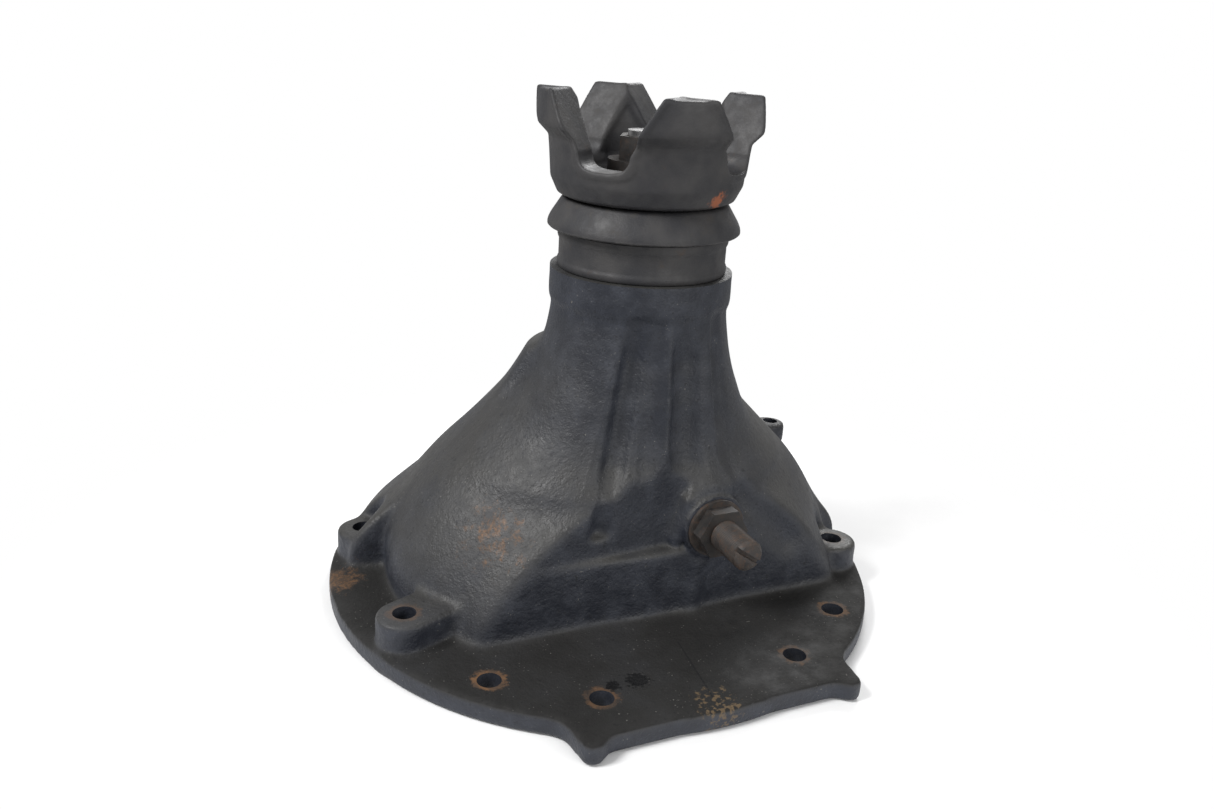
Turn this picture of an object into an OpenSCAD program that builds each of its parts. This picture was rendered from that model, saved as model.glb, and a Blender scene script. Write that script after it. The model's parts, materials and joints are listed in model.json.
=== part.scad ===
// Drive-axle differential carrier: spiral bevel drive, open bevel differential and end yoke.
// Origin: centre of the bolt circle on the mounting face. +Z runs up the pinion, +Y is the plain
// side of the axle, -Y is the ring gear side.

/* [Flange] */
// Outer diameter of the mounting flange
flange_d = 450; // [446:1:454]
// Thickness of the flange plate
flange_t = 16.5; // [15:0.5:18]
// Diameter of the circle that the bolt holes lie on
bolt_circle_d = 400; // [398:1:402]
// Diameter of one bolt hole
bolt_hole_d = 17.5; // [16:0.5:18.5]
// Angle between neighbouring bolt holes, counted from the Y axis
bolt_pitch = 23; // [22.5:0.25:23.5]
// Height of the raised bolt bosses above the flange
boss_rise = 24; // [20:1:26]
// Distance from the centre to the straight edge on the ring gear side
straight_edge_y = 222; // [220:1:226]

/* [Gears] */
// Teeth on the ring gear
ring_teeth = 37; // [37]
// Teeth on the drive pinion
pinion_teeth = 11; // [11]
// Outer module of the ring gear and the pinion
drive_module = 8; // [8]
// Spiral angle of the ring gear teeth
spiral_angle = 33; // [25:1:35]
// Teeth on each side gear
side_teeth = 16; // [16]
// Teeth on each spider pinion
spider_teeth = 10; // [10]
// Outer module of the side gears and the spider pinions
diff_module = 6; // [6]
// Gap between meshing flanks, measured along the pitch circle
backlash = 0.45; // [0.4:0.05:0.6]
// Gap between meshing flanks of the side gears and spider pinions
diff_backlash = 0.95; // [0.9:0.05:1]

/* [Axle] */
// Depth of the axle line below the mounting face
axle_drop = 45; // [45]
// Offset of the pinion axis from the flange centre along X
pinion_x = 14; // [12:1:15]
// Distance of the pinion axis from the flange centre towards the ring gear
pinion_back = 16; // [15:0.5:16.5]
// Diameter of the axle shaft bore in each side gear
shaft_bore_d = 44; // [42:1:45]

/* [Neck] */
// Diameter of the neck below the seal carrier
neck_d = 136; // [134:1:140]
// Height of the joint between the neck and the seal carrier
neck_top = 274; // [274]

/* [Yoke] */
// Height of the post tops above the mounting face
yoke_top = 403.5; // [400:0.5:406]
// Diameter over the outer pads of the four posts
yoke_d = 166; // [164:1:168]
// Turn of the yoke posts from the X axis at rest
yoke_turn = 83; // [0:1:89]
// Height of the bottoms of the four slots
slot_floor = 352; // [350:1:356]

/* [Thrust screw] */
// Place of the screw along X
screw_x = 45.5; // [44:0.5:47]
// Height of the screw above the mounting face
screw_z = 91; // [90:0.5:92]
// Diameter of the screw
screw_d = 24; // [22:1:24]
// Distance from the flange centre to the outer end of the screw
screw_end = 160; // [158:1:170]

/* [Hidden] */
$fn = 96;
eps = 1;

// Places of the two axes
axle_z = -axle_drop;
pinion_y = -pinion_back;

// Flange and bolt bosses
flange_r = flange_d / 2;
bolt_r = bolt_circle_d / 2;
boss_z = flange_t + boss_rise;
boss_r = 21;
spot_face_r = 18;
lug = [182, 33, 110];
lug_r = 13;
lug_t = 20;
lug_hole_r = 6.5;
tab_x = 101;
tab_r = 8;
opening_r = 172;
front_wall_y = -103;
wall = 10;
skirt_front = 2;
cavity_top = 111;

// Pitch radii and pitch cone angles, seen from the shared apex
ring_pitch_r = ring_teeth * drive_module / 2;
ring_cone = atan(ring_teeth / pinion_teeth);
side_cone = atan(side_teeth / spider_teeth);
drive_face_w = 44;
drive_shift = 0.3;
diff_face_w = 17;
diff_shift = 0.25;
pressure = 22.5;

// Ring gear and case, measured along the axle from the pinion axis
ring_seat = 55;
ring_back = 68;
ring_register_r = 70;
ring_bolt_r = 86;
ring_bolt_count = 12;
case_r = 82;
case_flange_r = 99;
case_bolt_r = 72;
case_bolt_count = 8;
gear_back = 40;
gear_seat = 41.5;
hub_seat = 55;
side_hub_r = 32;
trunnion_r = 30;
passage_r = 24;
spider_back = 60;
spider_seat = 61.5;
spider_bore_r = 11;
running = 0.05;

// Side bearings along the axle, and the caps that hold them
ring_bearing = [80, 104];
plain_bearing = [-86, -62];
side_cup_r = 50;
adjuster_w = 12;
cup_gap = 3;
saddle_w = 156;
cap_r = 66;
cap_ear_h = 34;
cap_bolt_x = 63;
cap_bolt_r = 8;
cap_spot_r = 15;
ring_cap = [79, 121];
plain_cap = [-103, -60];
lock_t = 3;

// Pinion bearings and shaft, as heights above the mounting face
inner_bearing = [113, 149];
inner_cup_r = 62;
outer_bearing = [204, 236];
outer_cup_r = 50;
head_shaft_r = 30;
shaft_r = 25;
thread_r = 16;
pilot = [43, 56];
pilot_shaft_r = 17;
pilot_cup_r = 32;
shim_t = 1;

// Seal, deflector and yoke
spigot_r = 54;
seal_carrier_r = 65;
seal_carrier_top = 303;
seal_r = 49;
hub_r = 36;
cup_bottom = 327;
cup_floor = 345;
pad_z = 377;
slot_w = 40;
slot_top_w = 78;
nut_flange_z = 355;
nut_z = 372;

// Thrust screw
screw_boss_y = -109;
pad_face_y = pinion_y - ring_back - 0.3;
pad_back_y = pad_face_y - 4;

// ---------- Placing ----------

// Local +Z runs along the axle from the pinion axis towards the ring gear side
module on_axle() {
    translate([pinion_x, pinion_y, axle_z]) rotate([90, 0, 0]) children();
}

// Local Z is the pinion axis, with heights above the mounting face
module on_pinion() {
    translate([pinion_x, pinion_y, 0]) children();
}

// Local +Z runs out along the thrust screw, from the flange centre's plane
module on_screw() {
    translate([screw_x, 0, screw_z]) rotate([90, 0, 0]) children();
}

module round_about(count, radius, first = 0) {
    for (k = [0:count - 1])
        rotate([0, 0, first + k * 360 / count]) translate([radius, 0, 0]) children();
}

module tube(outer, inner, low, high) {
    translate([0, 0, low])
        difference() {
            cylinder(r = outer, h = high - low);
            translate([0, 0, -eps]) cylinder(r = inner, h = high - low + 2 * eps);
        }
}

module rod(radius, low, high) {
    translate([0, 0, low]) cylinder(r = radius, h = high - low);
}

// Hexagon by its width across flats
module hexagon(flats, low, high) {
    translate([0, 0, low]) cylinder(d = flats / cos(30), h = high - low, $fn = 6);
}

// ---------- Bevel gears ----------

function involute(a) = tan(a) * 180 / PI - a;

// Half of a tooth's angle on the back cone, at the height h above the pitch line
function half_tooth(teeth, cone, size, shift, gap, h) =
    let (back_r = teeth * size / 2 / cos(cone),
         base_r = back_r * cos(pressure),
         half_w = size * (PI / 4 + shift * tan(pressure)) - gap / 4,
         base_angle = half_w / back_r * 180 / PI + involute(pressure))
    back_r + h <= base_r ? base_angle : base_angle - involute(acos(base_r / (back_r + h)));

// One point of a tooth: s shrinks the section towards the apex, and the spiral turns it
function tooth_point(teeth, cone, size, spiral, s, h, turn) =
    let (pitch_r = teeth * size / 2,
         reach = pitch_r / sin(cone),
         radial = s * (pitch_r + h * cos(cone)),
         axial = s * (reach * cos(cone) - h * sin(cone)),
         span = norm([radial, axial]),
         a = turn + tan(spiral) * ln(span / reach) / sin(cone) * 180 / PI)
    [radial * cos(a), radial * sin(a), axial];

// One closed row of points round the gear, up one flank of each tooth and down the other
function tooth_row(teeth, cone, size, shift, gap, spiral, s, steps) =
    let (low = -size * (1 - shift), high = size * (0.8 + shift))
    [
        for (tooth = [0:teeth - 1], side = [-1, 1], k = [0:steps])
            let (part = side < 0 ? k / steps : 1 - k / steps,
                 h = low + (high - low) * part,
                 half = half_tooth(teeth, cone, size, shift, gap, h) / cos(cone))
            tooth_point(teeth, cone, size, spiral, s, h, tooth * 360 / teeth + side * half)
    ];

function plain_row(count, place, first) = [
    for (k = [0:count - 1])
        let (a = first + k * 360 / count)
        [place.x * cos(a), place.x * sin(a), place.y]
];

// Triangles of a closed tube of rows, where the last row joins the first
function tube_faces(rows, count) = [
    for (row = [0:rows - 1], k = [0:count - 1])
        let (a = row * count + k,
             b = row * count + (k + 1) % count,
             c = (row + 1) % rows * count + k,
             d = (row + 1) % rows * count + (k + 1) % count)
        each [[a, d, b], [a, c, d]]
];

function turn_of(point) = atan2(point.y, point.x);

// A bevel gear's toothed body with its apex at the origin. front and back are the
// [radius, height] corners that close it inside the teeth and behind them.
module bevel_teeth(teeth, cone, size, face_w, shift, gap, spiral, sections, steps, front, back) {
    reach = teeth * size / 2 / sin(cone);
    count = teeth * 2 * (steps + 1);
    toothed = [
        for (k = [0:sections])
            let (s = 1 - face_w / reach * (1 - k / sections))
            tooth_row(teeth, cone, size, shift, gap, spiral, s, steps)
    ];
    rows = [
        for (place = front) plain_row(count, place, turn_of(toothed[0][0])),
        each toothed,
        for (place = back) plain_row(count, place, turn_of(toothed[sections][0]))
    ];
    polyhedron([for (row = rows) each row], tube_faces(len(rows), count), convexity = 10);
}

// ---------- Taper roller bearings ----------

// Each bearing: width, mean roller radius, tilt, roller radius, roller count, cone bore, cup radius
inner_b = [36, 46.5, 16, 6.5, 16, head_shaft_r, inner_cup_r];
outer_b = [32, 37.5, 15, 5, 16, shaft_r, outer_cup_r];
side_b = [24, 39.5, 15, 4.3, 20, trunnion_r, side_cup_r];
race_gap = 0.3;
cone_rib_w = 4;
cone_rib_h = 2;
roller_end_gap = 6.5;
cage_gap = 1.4;
cage_half_t = 0.8;

// Half of a roller's taper. Its race lines and its axis all meet on the bearing's axis.
function roller_taper(b) = asin(b[3] * sin(b[2]) / b[1]);

// Radius of the cup's race (side 1) or the cone's (side -1) at the height w
function race_r(b, side, w) =
    (w + b[1] / tan(b[2])) * tan(b[2] + side * roller_taper(b)) + side * race_gap;

function roller_half(b) = b[0] / 2 - roller_end_gap;

module taper_cup(b) {
    high = b[0] / 2;
    low = -high + cup_gap;
    rotate_extrude()
        polygon([[race_r(b, 1, low), low], [b[6], low], [b[6], high], [race_r(b, 1, high), high]]);
}

module taper_cone(b) {
    high = b[0] / 2;
    rib = high - cone_rib_w;
    rib_r = race_r(b, -1, rib) + cone_rib_h;
    rotate_extrude()
        polygon([[b[5], -high], [race_r(b, -1, -high), -high], [race_r(b, -1, rib), rib],
                 [rib_r, rib], [rib_r, high], [b[5], high]]);
}

module taper_rollers(b) {
    half = roller_half(b);
    widen = half * tan(roller_taper(b));
    round_about(b[4], b[1])
        rotate([0, b[2], 0])
            translate([0, 0, -half])
                cylinder(r1 = b[3] - widen, r2 = b[3] + widen, h = 2 * half, $fn = 32);
}

// A thin ring past each end of the rollers, joined by bars between them
module taper_cage(b) {
    half = roller_half(b);
    for (end = [-1, 1]) {
        w = end * (half + cage_gap);
        r = b[1] + w * tan(b[2]);
        tube(r + 1.5 * cage_half_t, r - 1.5 * cage_half_t, w - cage_half_t, w + cage_half_t);
    }
    round_about(b[4], b[1], 180 / b[4])
        rotate([0, b[2], 0])
            cube([2 * cage_half_t, 1.4, 2 * (half + cage_gap + cage_half_t)], center = true);
}

function middle(span) = (span[0] + span[1]) / 2;

// The large end of the inner bearing faces the pinion's head
module inner_place() {
    on_pinion() translate([0, 0, middle(inner_bearing)]) mirror([0, 0, 1]) children();
}

module outer_place() {
    on_pinion() translate([0, 0, middle(outer_bearing)]) children();
}

// The large ends of the side bearings face the differential
module ring_side_place() {
    on_axle() translate([0, 0, middle(ring_bearing)]) mirror([0, 0, 1]) children();
}

module plain_side_place() {
    on_axle() translate([0, 0, middle(plain_bearing)]) children();
}

// ---------- Housing ----------

// Outline of the flange plate, with its straight edge and a tab at each end of it
module flange_outline() {
    circle(r = flange_r, $fn = 180);
    translate([-tab_x, -straight_edge_y]) square([2 * tab_x, 80]);
    for (side = [-1, 1]) {
        translate([side * tab_x, -straight_edge_y]) circle(r = tab_r, $fn = 48);
        polygon([[side * (tab_x + tab_r), -straight_edge_y],
                 [side * (tab_x + tab_r), -straight_edge_y + 30],
                 [side * (tab_x - 30), -straight_edge_y + 6],
                 [side * tab_x, -straight_edge_y - tab_r]]);
    }
}

// The bolt circle: the same three holes in each quarter, counted from the Y axis
hole_angles = [
    for (k = [1:3]) each [-90 - k * bolt_pitch, -90 + k * bolt_pitch,
                          90 - k * bolt_pitch, 90 + k * bolt_pitch]
];
raised_angles = [-90 - 3 * bolt_pitch, -90 + 3 * bolt_pitch, 90 + 3 * bolt_pitch];

module at_bolt(angle) {
    rotate([0, 0, angle]) translate([bolt_r, 0, 0]) children();
}

module bolt_boss(angle, top) {
    at_bolt(angle) {
        rod(boss_r, 0, top);
        translate([-50, -boss_r, 0]) cube([50, 2 * boss_r, top]);
    }
}

// Room for a bolt head above each boss or hole
module spot_face(angle, low) {
    at_bolt(angle) rod(spot_face_r, low, low + 200);
}

// Bulge over the ring gear: round in plan, and sloping down towards the front wall.
// less is the thickness left outside the cavity.
module dome(less) {
    intersection() {
        translate([pinion_x, 0, 0])
            rotate_extrude()
                polygon([[0, -less], [194 - 2 * less, -less], [193 - 2 * less, 50],
                         [184 - 1.5 * less, 80], [169 - less, 106 - less], [139 - less, 134 - less],
                         [111 - less, 160 - less], [82 - less, 184 - less], [0, 184 - less]]);
        on_axle()
            rotate_extrude()
                polygon([[0, -80], [272 - less, -80],
                         [168 - less, -front_wall_y - pinion_back - less],
                         [0, -front_wall_y - pinion_back - less]]);
    }
}

// Cone over the back half, from the neck down to the flange
module skirt(less) {
    intersection() {
        translate([4, 0, 0])
            rotate_extrude()
                polygon([[0, -less], [212 - 4 * less, -less], [212 - 4 * less, 46],
                         [169 - less, 91 - less], [131 - less, 132 - less], [92 - less, 171 - less],
                         [0, 190 - less]]);
        rotate([0, 0, -12]) translate([-300, skirt_front + less, -eps - less]) cube([600, 300, 300]);
    }
}

// Space behind the neck's front, which slopes down to the front wall. more widens it.
module behind_front(more) {
    rotate([90, 0, 90]) translate([0, 0, -200])
        linear_extrude(400)
            polygon([[front_wall_y - more, 60], [front_wall_y - more, 118], [-94 - more, 165],
                     [-90 - more, 215], [-90 - more, 300], [200, 300], [200, 60]]);
}

module neck() {
    on_pinion()
        rotate_extrude()
            polygon([[0, 90], [125, 120], [98, 156], [84, 184], [76, 205], [71, 226],
                     [neck_d / 2, 246], [neck_d / 2, 262], [neck_d / 2 + 2, 264],
                     [neck_d / 2 + 2, neck_top], [0, neck_top]]);
}

// A web that stands on the neck and runs down onto the dome
module neck_rib(angle, depth, width) {
    on_pinion() rotate([0, 0, angle]) rotate([90, 0, 0]) translate([0, 0, -width / 2])
        linear_extrude(width)
            polygon([[40, 256], [67 + depth, 244], [73 + depth, 205], [80 + depth, 165],
                     [92 + depth, 126], [92 + depth, 100], [40, 100]]);
}

module screw_boss() {
    on_screw() {
        translate([0, 0, -front_wall_y - 30]) cylinder(r1 = 44, r2 = 32, h = 30);
        rod(26, -front_wall_y - eps, -screw_boss_y);
    }
}

// A block under each side bearing, down to the line where its cap parts
module saddle(span, top) {
    on_axle() translate([-saddle_w / 2, 0, span[0]]) cube([saddle_w, top + axle_drop, span[1] - span[0]]);
}

// Small lug on the side of the dome, with an upright hole
module side_lug() {
    translate([lug.x, lug.y, lug.z - lug_t]) {
        cylinder(r = lug_r, h = lug_t);
        translate([-40, -lug_r, 0]) cube([40, 2 * lug_r, lug_t]);
    }
}

module pilot_support() {
    on_pinion() {
        rod(38, pilot[0], pilot[1]);
        translate([-26, 0, pilot[0]]) cube([52, 70, pilot[1] - pilot[0]]);
    }
}

module housing_cavity() {
    intersection() {
        union() {
            translate([pinion_x, 0, 0]) rod(opening_r, -eps, 30);
            dome(wall);
            skirt(wall);
            on_axle() rod(ring_pitch_r + 8, 22, -front_wall_y - pinion_back - wall);
        }
        translate([-300, front_wall_y + wall, -2]) cube([600, 600, cavity_top + 2]);
    }
}

module housing_bores() {
    for (a = hole_angles) at_bolt(a) rod(bolt_hole_d / 2, -eps, boss_z + eps);
    translate([lug.x, lug.y, 0]) rod(lug_hole_r, lug.z - lug_t - eps, lug.z + eps);
    on_pinion() {
        rod(pilot_cup_r, pilot[0] - eps, pilot[1] + eps);
        rod(59, pilot[1] + 0.5, inner_bearing[0]);
        rod(inner_cup_r, inner_bearing[0] - 2, inner_bearing[1] - 3 + shim_t);
        rod(54, inner_bearing[0], inner_bearing[1] + 2);
        rod(46, inner_bearing[1], outer_bearing[0]);
        rod(43, outer_bearing[0] - eps, outer_bearing[1]);
        rod(outer_cup_r, outer_bearing[0] + 3, outer_bearing[1]);
        rod(spigot_r, outer_bearing[1], neck_top + eps);
    }
    on_axle() {
        rod(side_cup_r, ring_cap[0] - eps, ring_cap[1] + eps);
        rod(side_cup_r, plain_cap[0] - eps, plain_cap[1] + eps);
    }
    on_screw() rod(screw_d / 2, 0, 200);
    cap_bolt_places() rod(cap_bolt_r, axle_z - eps, axle_z + 38);
}

module cap_bolt_places() {
    for (side = [-1, 1], u = [middle(ring_cap), middle(plain_cap)])
        translate([pinion_x + side * cap_bolt_x, pinion_y - u, 0]) children();
}

module carrier_housing() {
    color("dimgray")
    difference() {
        union() {
            difference() {
                union() {
                    linear_extrude(flange_t) flange_outline();
                    difference() {
                        union() {
                            dome(0);
                            skirt(0);
                            for (a = raised_angles) bolt_boss(a, boss_z);
                        }
                        translate([0, 0, -2]) difference() {
                            rod(300, 0, 60);
                            rod(flange_r - 2, -eps, 62);
                        }
                        for (k = [1:3], side = [-1, 1]) spot_face(90 + side * k * bolt_pitch, boss_z);
                        spot_face(-90 - 3 * bolt_pitch, boss_z);
                        spot_face(-90 + 3 * bolt_pitch, boss_z);
                    }
                    intersection() {
                        neck();
                        behind_front(0);
                    }
                    intersection() {
                        union() {
                            neck_rib(-127, 4, 6);
                            neck_rib(-97, 2, 14);
                            neck_rib(-65, 3, 8);
                        }
                        behind_front(3);
                    }
                    screw_boss();
                    side_lug();
                }
                housing_cavity();
            }
            saddle(ring_cap, flange_t - eps);
            saddle(plain_cap, cavity_top + eps);
            pilot_support();
        }
        housing_bores();
    }
}

// ---------- Side bearing caps and adjusters ----------

module bearing_cap(span) {
    on_axle()
        difference() {
            translate([0, 0, span[0]])
                linear_extrude(span[1] - span[0])
                    intersection() {
                        union() {
                            circle(r = cap_r);
                            translate([-saddle_w / 2, -cap_ear_h]) square([saddle_w, cap_ear_h]);
                        }
                        translate([-100, -100]) square([200, 100]);
                    }
            rod(side_cup_r, span[0] - eps, span[1] + eps);
        }
}

module drilled_cap(span) {
    color("dimgray")
    difference() {
        bearing_cap(span);
        cap_bolt_places() {
            rod(cap_bolt_r, axle_z - 60, axle_z + eps);
            rod(cap_spot_r, axle_z - 80, axle_z - cap_ear_h);
        }
        on_axle() translate([0, -58, 0]) rod(4, span[0] - eps, span[0] + 14);
        on_axle() translate([0, -58, 0]) rod(4, span[1] - 14, span[1] + eps);
    }
}

module ring_side_bearing_cap() { drilled_cap(ring_cap); }

module plain_side_bearing_cap() { drilled_cap(plain_cap); }

module bearing_cap_bolts() {
    color("gray")
    cap_bolt_places() {
        rod(cap_bolt_r, axle_z - cap_ear_h - eps, axle_z + 34);
        hexagon(24, axle_z - cap_ear_h - 10, axle_z - cap_ear_h);
    }
}

// Screwed ring with notches in its outer face; face is 1 if that face points along +Z
module adjuster(low, face) {
    difference() {
        tube(side_cup_r, 34, low, low + adjuster_w);
        round_about(8, 45, -90)
            translate([-7, -4.5, face > 0 ? low + adjuster_w - 6 : low - eps])
                cube([14, 9, 6 + eps]);
    }
}

module ring_side_adjuster() {
    color("gray") on_axle() adjuster(ring_bearing[1] - cup_gap, 1);
}

module plain_side_adjuster() {
    color("gray") on_axle() adjuster(plain_bearing[0] + cup_gap - adjuster_w, -1);
}

// A plate on the cap with a finger in one notch of the adjuster
module adjuster_lock(face, notch) {
    finger = abs(face - notch) - 1;
    out = face > notch ? 1 : -1;
    translate([-8, -66, out > 0 ? face : face - lock_t]) cube([16, 26, lock_t]);
    translate([-4, -46, out > 0 ? face - finger : face - lock_t]) cube([8, 6, finger + lock_t]);
}

module adjuster_locks() {
    color("silver")
    on_axle()
        difference() {
            union() {
                adjuster_lock(ring_cap[1], ring_bearing[1] - cup_gap + adjuster_w - 6);
                adjuster_lock(plain_cap[0], plain_bearing[0] + cup_gap - adjuster_w + 6);
            }
            translate([0, -58, 0]) rod(4, plain_cap[0] - 20, ring_cap[1] + 20);
        }
}

module adjuster_lock_bolts() {
    color("gray")
    on_axle() translate([0, -58, 0]) {
        rod(4, ring_cap[1] - 12, ring_cap[1] + lock_t + eps);
        hexagon(13, ring_cap[1] + lock_t, ring_cap[1] + lock_t + 5);
        rod(4, plain_cap[0] - lock_t - eps, plain_cap[0] + 12);
        hexagon(13, plain_cap[0] - lock_t - 5, plain_cap[0] - lock_t);
    }
}

// ---------- Bearings ----------

module ring_side_bearing_cup() { color("silver") ring_side_place() taper_cup(side_b); }

module plain_side_bearing_cup() { color("silver") plain_side_place() taper_cup(side_b); }

module inner_pinion_bearing_cup() { color("silver") inner_place() taper_cup(inner_b); }

module outer_pinion_bearing_cup() { color("silver") outer_place() taper_cup(outer_b); }

module ring_side_bearing_cone() { color("silver") ring_side_place() taper_cone(side_b); }

module plain_side_bearing_cone() { color("silver") plain_side_place() taper_cone(side_b); }

module inner_pinion_bearing_cone() { color("silver") inner_place() taper_cone(inner_b); }

module outer_pinion_bearing_cone() { color("silver") outer_place() taper_cone(outer_b); }

module ring_side_rollers() { color("lightgray") ring_side_place() taper_rollers(side_b); }

module plain_side_rollers() { color("lightgray") plain_side_place() taper_rollers(side_b); }

module inner_pinion_rollers() { color("lightgray") inner_place() taper_rollers(inner_b); }

module outer_pinion_rollers() { color("lightgray") outer_place() taper_rollers(outer_b); }

module ring_side_cage() { color("darkgray") ring_side_place() taper_cage(side_b); }

module plain_side_cage() { color("darkgray") plain_side_place() taper_cage(side_b); }

module inner_pinion_cage() { color("darkgray") inner_place() taper_cage(inner_b); }

module outer_pinion_cage() { color("darkgray") outer_place() taper_cage(outer_b); }

pilot_inner_r = 20.3;
pilot_outer_r = 27.7;
pilot_roller_r = 3.4;

module pilot_bearing_outer_race() {
    color("silver") on_pinion() tube(pilot_cup_r, pilot_outer_r, pilot[0], pilot[1]);
}

module pilot_bearing_inner_race() {
    color("silver") on_pinion() tube(pilot_inner_r, pilot_shaft_r, pilot[0], pilot[1]);
}

module pilot_rollers() {
    color("lightgray")
    on_pinion()
        round_about(16, (pilot_inner_r + pilot_outer_r) / 2)
            translate([0, 0, pilot[0] + 1]) cylinder(r = pilot_roller_r, h = 11, $fn = 32);
}

module pinion_depth_shim() {
    color("goldenrod")
    on_pinion() tube(inner_cup_r, 55, inner_bearing[1] - 3, inner_bearing[1] - 3 + shim_t);
}

module pinion_bearing_spacer() {
    color("silver") on_pinion() tube(33, shaft_r, inner_bearing[1], outer_bearing[0]);
}

// ---------- Pinion, seal and yoke ----------

module drive_pinion() {
    color("slategray")
    on_pinion() {
        translate([0, 0, axle_z])
            rotate([0, 0, -90 + 180 / pinion_teeth])
                bevel_teeth(pinion_teeth, 90 - ring_cone, drive_module, drive_face_w, drive_shift,
                            backlash, -spiral_angle, 7, 5, [[9, 103], [25, 103]], [[39, 153], [9, 153]]);
        rod(pilot_shaft_r, pilot[0] - 2, pilot[1] + 20);
        rod(36, inner_bearing[0] - 8, inner_bearing[0]);
        rod(head_shaft_r, pilot[1] + 19, inner_bearing[1]);
        rod(shaft_r, inner_bearing[1] - eps, cup_floor - 8);
        rod(thread_r, cup_floor - 9, nut_z + 4);
    }
}

module seal_carrier() {
    color("darkslategray")
    on_pinion()
        difference() {
            union() {
                rod(seal_carrier_r, neck_top, seal_carrier_top);
                rod(spigot_r, neck_top - 18, neck_top + eps);
            }
            rod(42, neck_top - 19, seal_carrier_top);
            rod(seal_r, seal_carrier_top - 16, seal_carrier_top + eps);
        }
}

module pinion_oil_seal() {
    color("black")
    on_pinion()
        tube(seal_r, hub_r + running, seal_carrier_top - 16, seal_carrier_top - 4);
}

module dust_deflector() {
    color("darkslategray")
    on_pinion()
        rotate_extrude()
            polygon([[hub_r, 323], [60, 323], [70, 304.5], [73, 304.5], [72, 309],
                     [62, 326], [hub_r, 326]]);
}

// The slot between two posts, drawn across the whole cup
module yoke_slot() {
    corner_r = 12;
    corner_z = slot_floor + corner_r;
    rotate([90, 0, 0])
        linear_extrude(2 * yoke_d, center = true) {
            for (side = [-1, 1])
                translate([side * (slot_w / 2 - corner_r), corner_z]) circle(r = corner_r, $fn = 48);
            translate([corner_r - slot_w / 2, slot_floor]) square([slot_w - 2 * corner_r, corner_r]);
            polygon([[-slot_w / 2, corner_z], [slot_w / 2, corner_z],
                     [slot_top_w / 2, yoke_top + eps], [-slot_top_w / 2, yoke_top + eps]]);
        }
}

module end_yoke() {
    pad_r = yoke_d / 2;
    color("dimgray")
    on_pinion() rotate([0, 0, yoke_turn])
        difference() {
            rotate_extrude()
                polygon([[shaft_r, outer_bearing[1]], [hub_r, outer_bearing[1]],
                         [hub_r, cup_bottom - 1], [60, cup_bottom], [66.6, cup_bottom + 3],
                         [71, cup_bottom + 11], [pad_r - 9, cup_bottom + 26], [pad_r - 8, pad_z - 4],
                         [pad_r, pad_z], [pad_r, yoke_top], [58, yoke_top], [55, pad_z],
                         [55, cup_floor + 5], [50, cup_floor], [shaft_r, cup_floor]]);
            for (turn = [45, 135]) rotate([0, 0, turn]) yoke_slot();
        }
}

module pinion_nut() {
    color("dimgray")
    on_pinion()
        difference() {
            union() {
                rod(30, cup_floor, nut_flange_z);
                hexagon(41, nut_flange_z - eps, nut_z);
            }
            rod(thread_r, cup_floor - eps, nut_z + eps);
        }
}

// ---------- Thrust screw ----------

module thrust_screw() {
    color("saddlebrown")
    on_screw()
        difference() {
            union() {
                rod(screw_d / 2, -pad_back_y, screw_end - 2);
                translate([0, 0, screw_end - 2])
                    cylinder(r1 = screw_d / 2, r2 = screw_d / 2 - 2, h = 2);
            }
            translate([-20, -1.5, screw_end - 4]) cube([40, 3, 5]);
        }
}

module thrust_screw_nut() {
    color("dimgray")
    on_screw()
        difference() {
            hexagon(36, -screw_boss_y + 3, -screw_boss_y + 14);
            rod(screw_d / 2, 0, 200);
        }
}

module thrust_screw_washer() {
    color("gray") on_screw() tube(23, screw_d / 2, -screw_boss_y, -screw_boss_y + 3);
}

module thrust_pad() {
    color("goldenrod") on_screw() rod(9, -pad_face_y, -pad_back_y);
}

// ---------- Ring gear and case ----------

module ring_bolt_places() {
    round_about(ring_bolt_count, ring_bolt_r, 15) children();
}

module case_bolt_places() {
    round_about(case_bolt_count, case_bolt_r, 22.5) children();
}

module ring_gear() {
    color("slategray")
    on_axle()
        difference() {
            union() {
                rotate([0, 0, 90])
                    bevel_teeth(ring_teeth, ring_cone, drive_module, drive_face_w, -drive_shift,
                                backlash, spiral_angle, 5, 3, [[102, ring_seat + eps]],
                                [[149.5, ring_seat + eps]]);
                rod(148.5, ring_seat, ring_back);
            }
            rod(ring_register_r, ring_seat - eps, ring_back + eps);
            ring_bolt_places() rod(6, ring_seat - eps, ring_back + eps);
        }
}

module ring_gear_bolts() {
    color("gray")
    on_axle()
        ring_bolt_places() {
            rod(6, ring_seat - 11, ring_back + eps);
            hexagon(19, ring_back, ring_back + 7.5);
        }
}

// Room for the side gear, its hub, the axle shaft and the four spider pinions
module case_cavity() {
    rod(54, -eps, gear_seat);
    rod(side_hub_r + running, gear_seat - eps, hub_seat);
    rod(passage_r, hub_seat - eps, 200);
    for (turn = [0, 90, 180, 270])
        rotate([0, 0, turn]) rotate([0, 90, 0]) {
            rod(38, 0, spider_seat);
            rod(spider_bore_r, 0, case_r + eps);
        }
}

module flange_case_half() {
    color("slategray")
    on_axle()
        difference() {
            rotate_extrude()
                polygon([[0, 0], [case_r, 0], [case_r, 40], [case_flange_r, 43],
                         [case_flange_r, ring_seat], [ring_register_r, ring_seat],
                         [ring_register_r, ring_back - 2], [42, 74], [42, ring_bearing[0]],
                         [trunnion_r, ring_bearing[0]], [trunnion_r, 114], [0, 114]]);
            case_cavity();
            case_bolt_places() rod(5, -eps, 26);
            ring_bolt_places() rod(6, 42, ring_seat + eps);
        }
}

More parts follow.
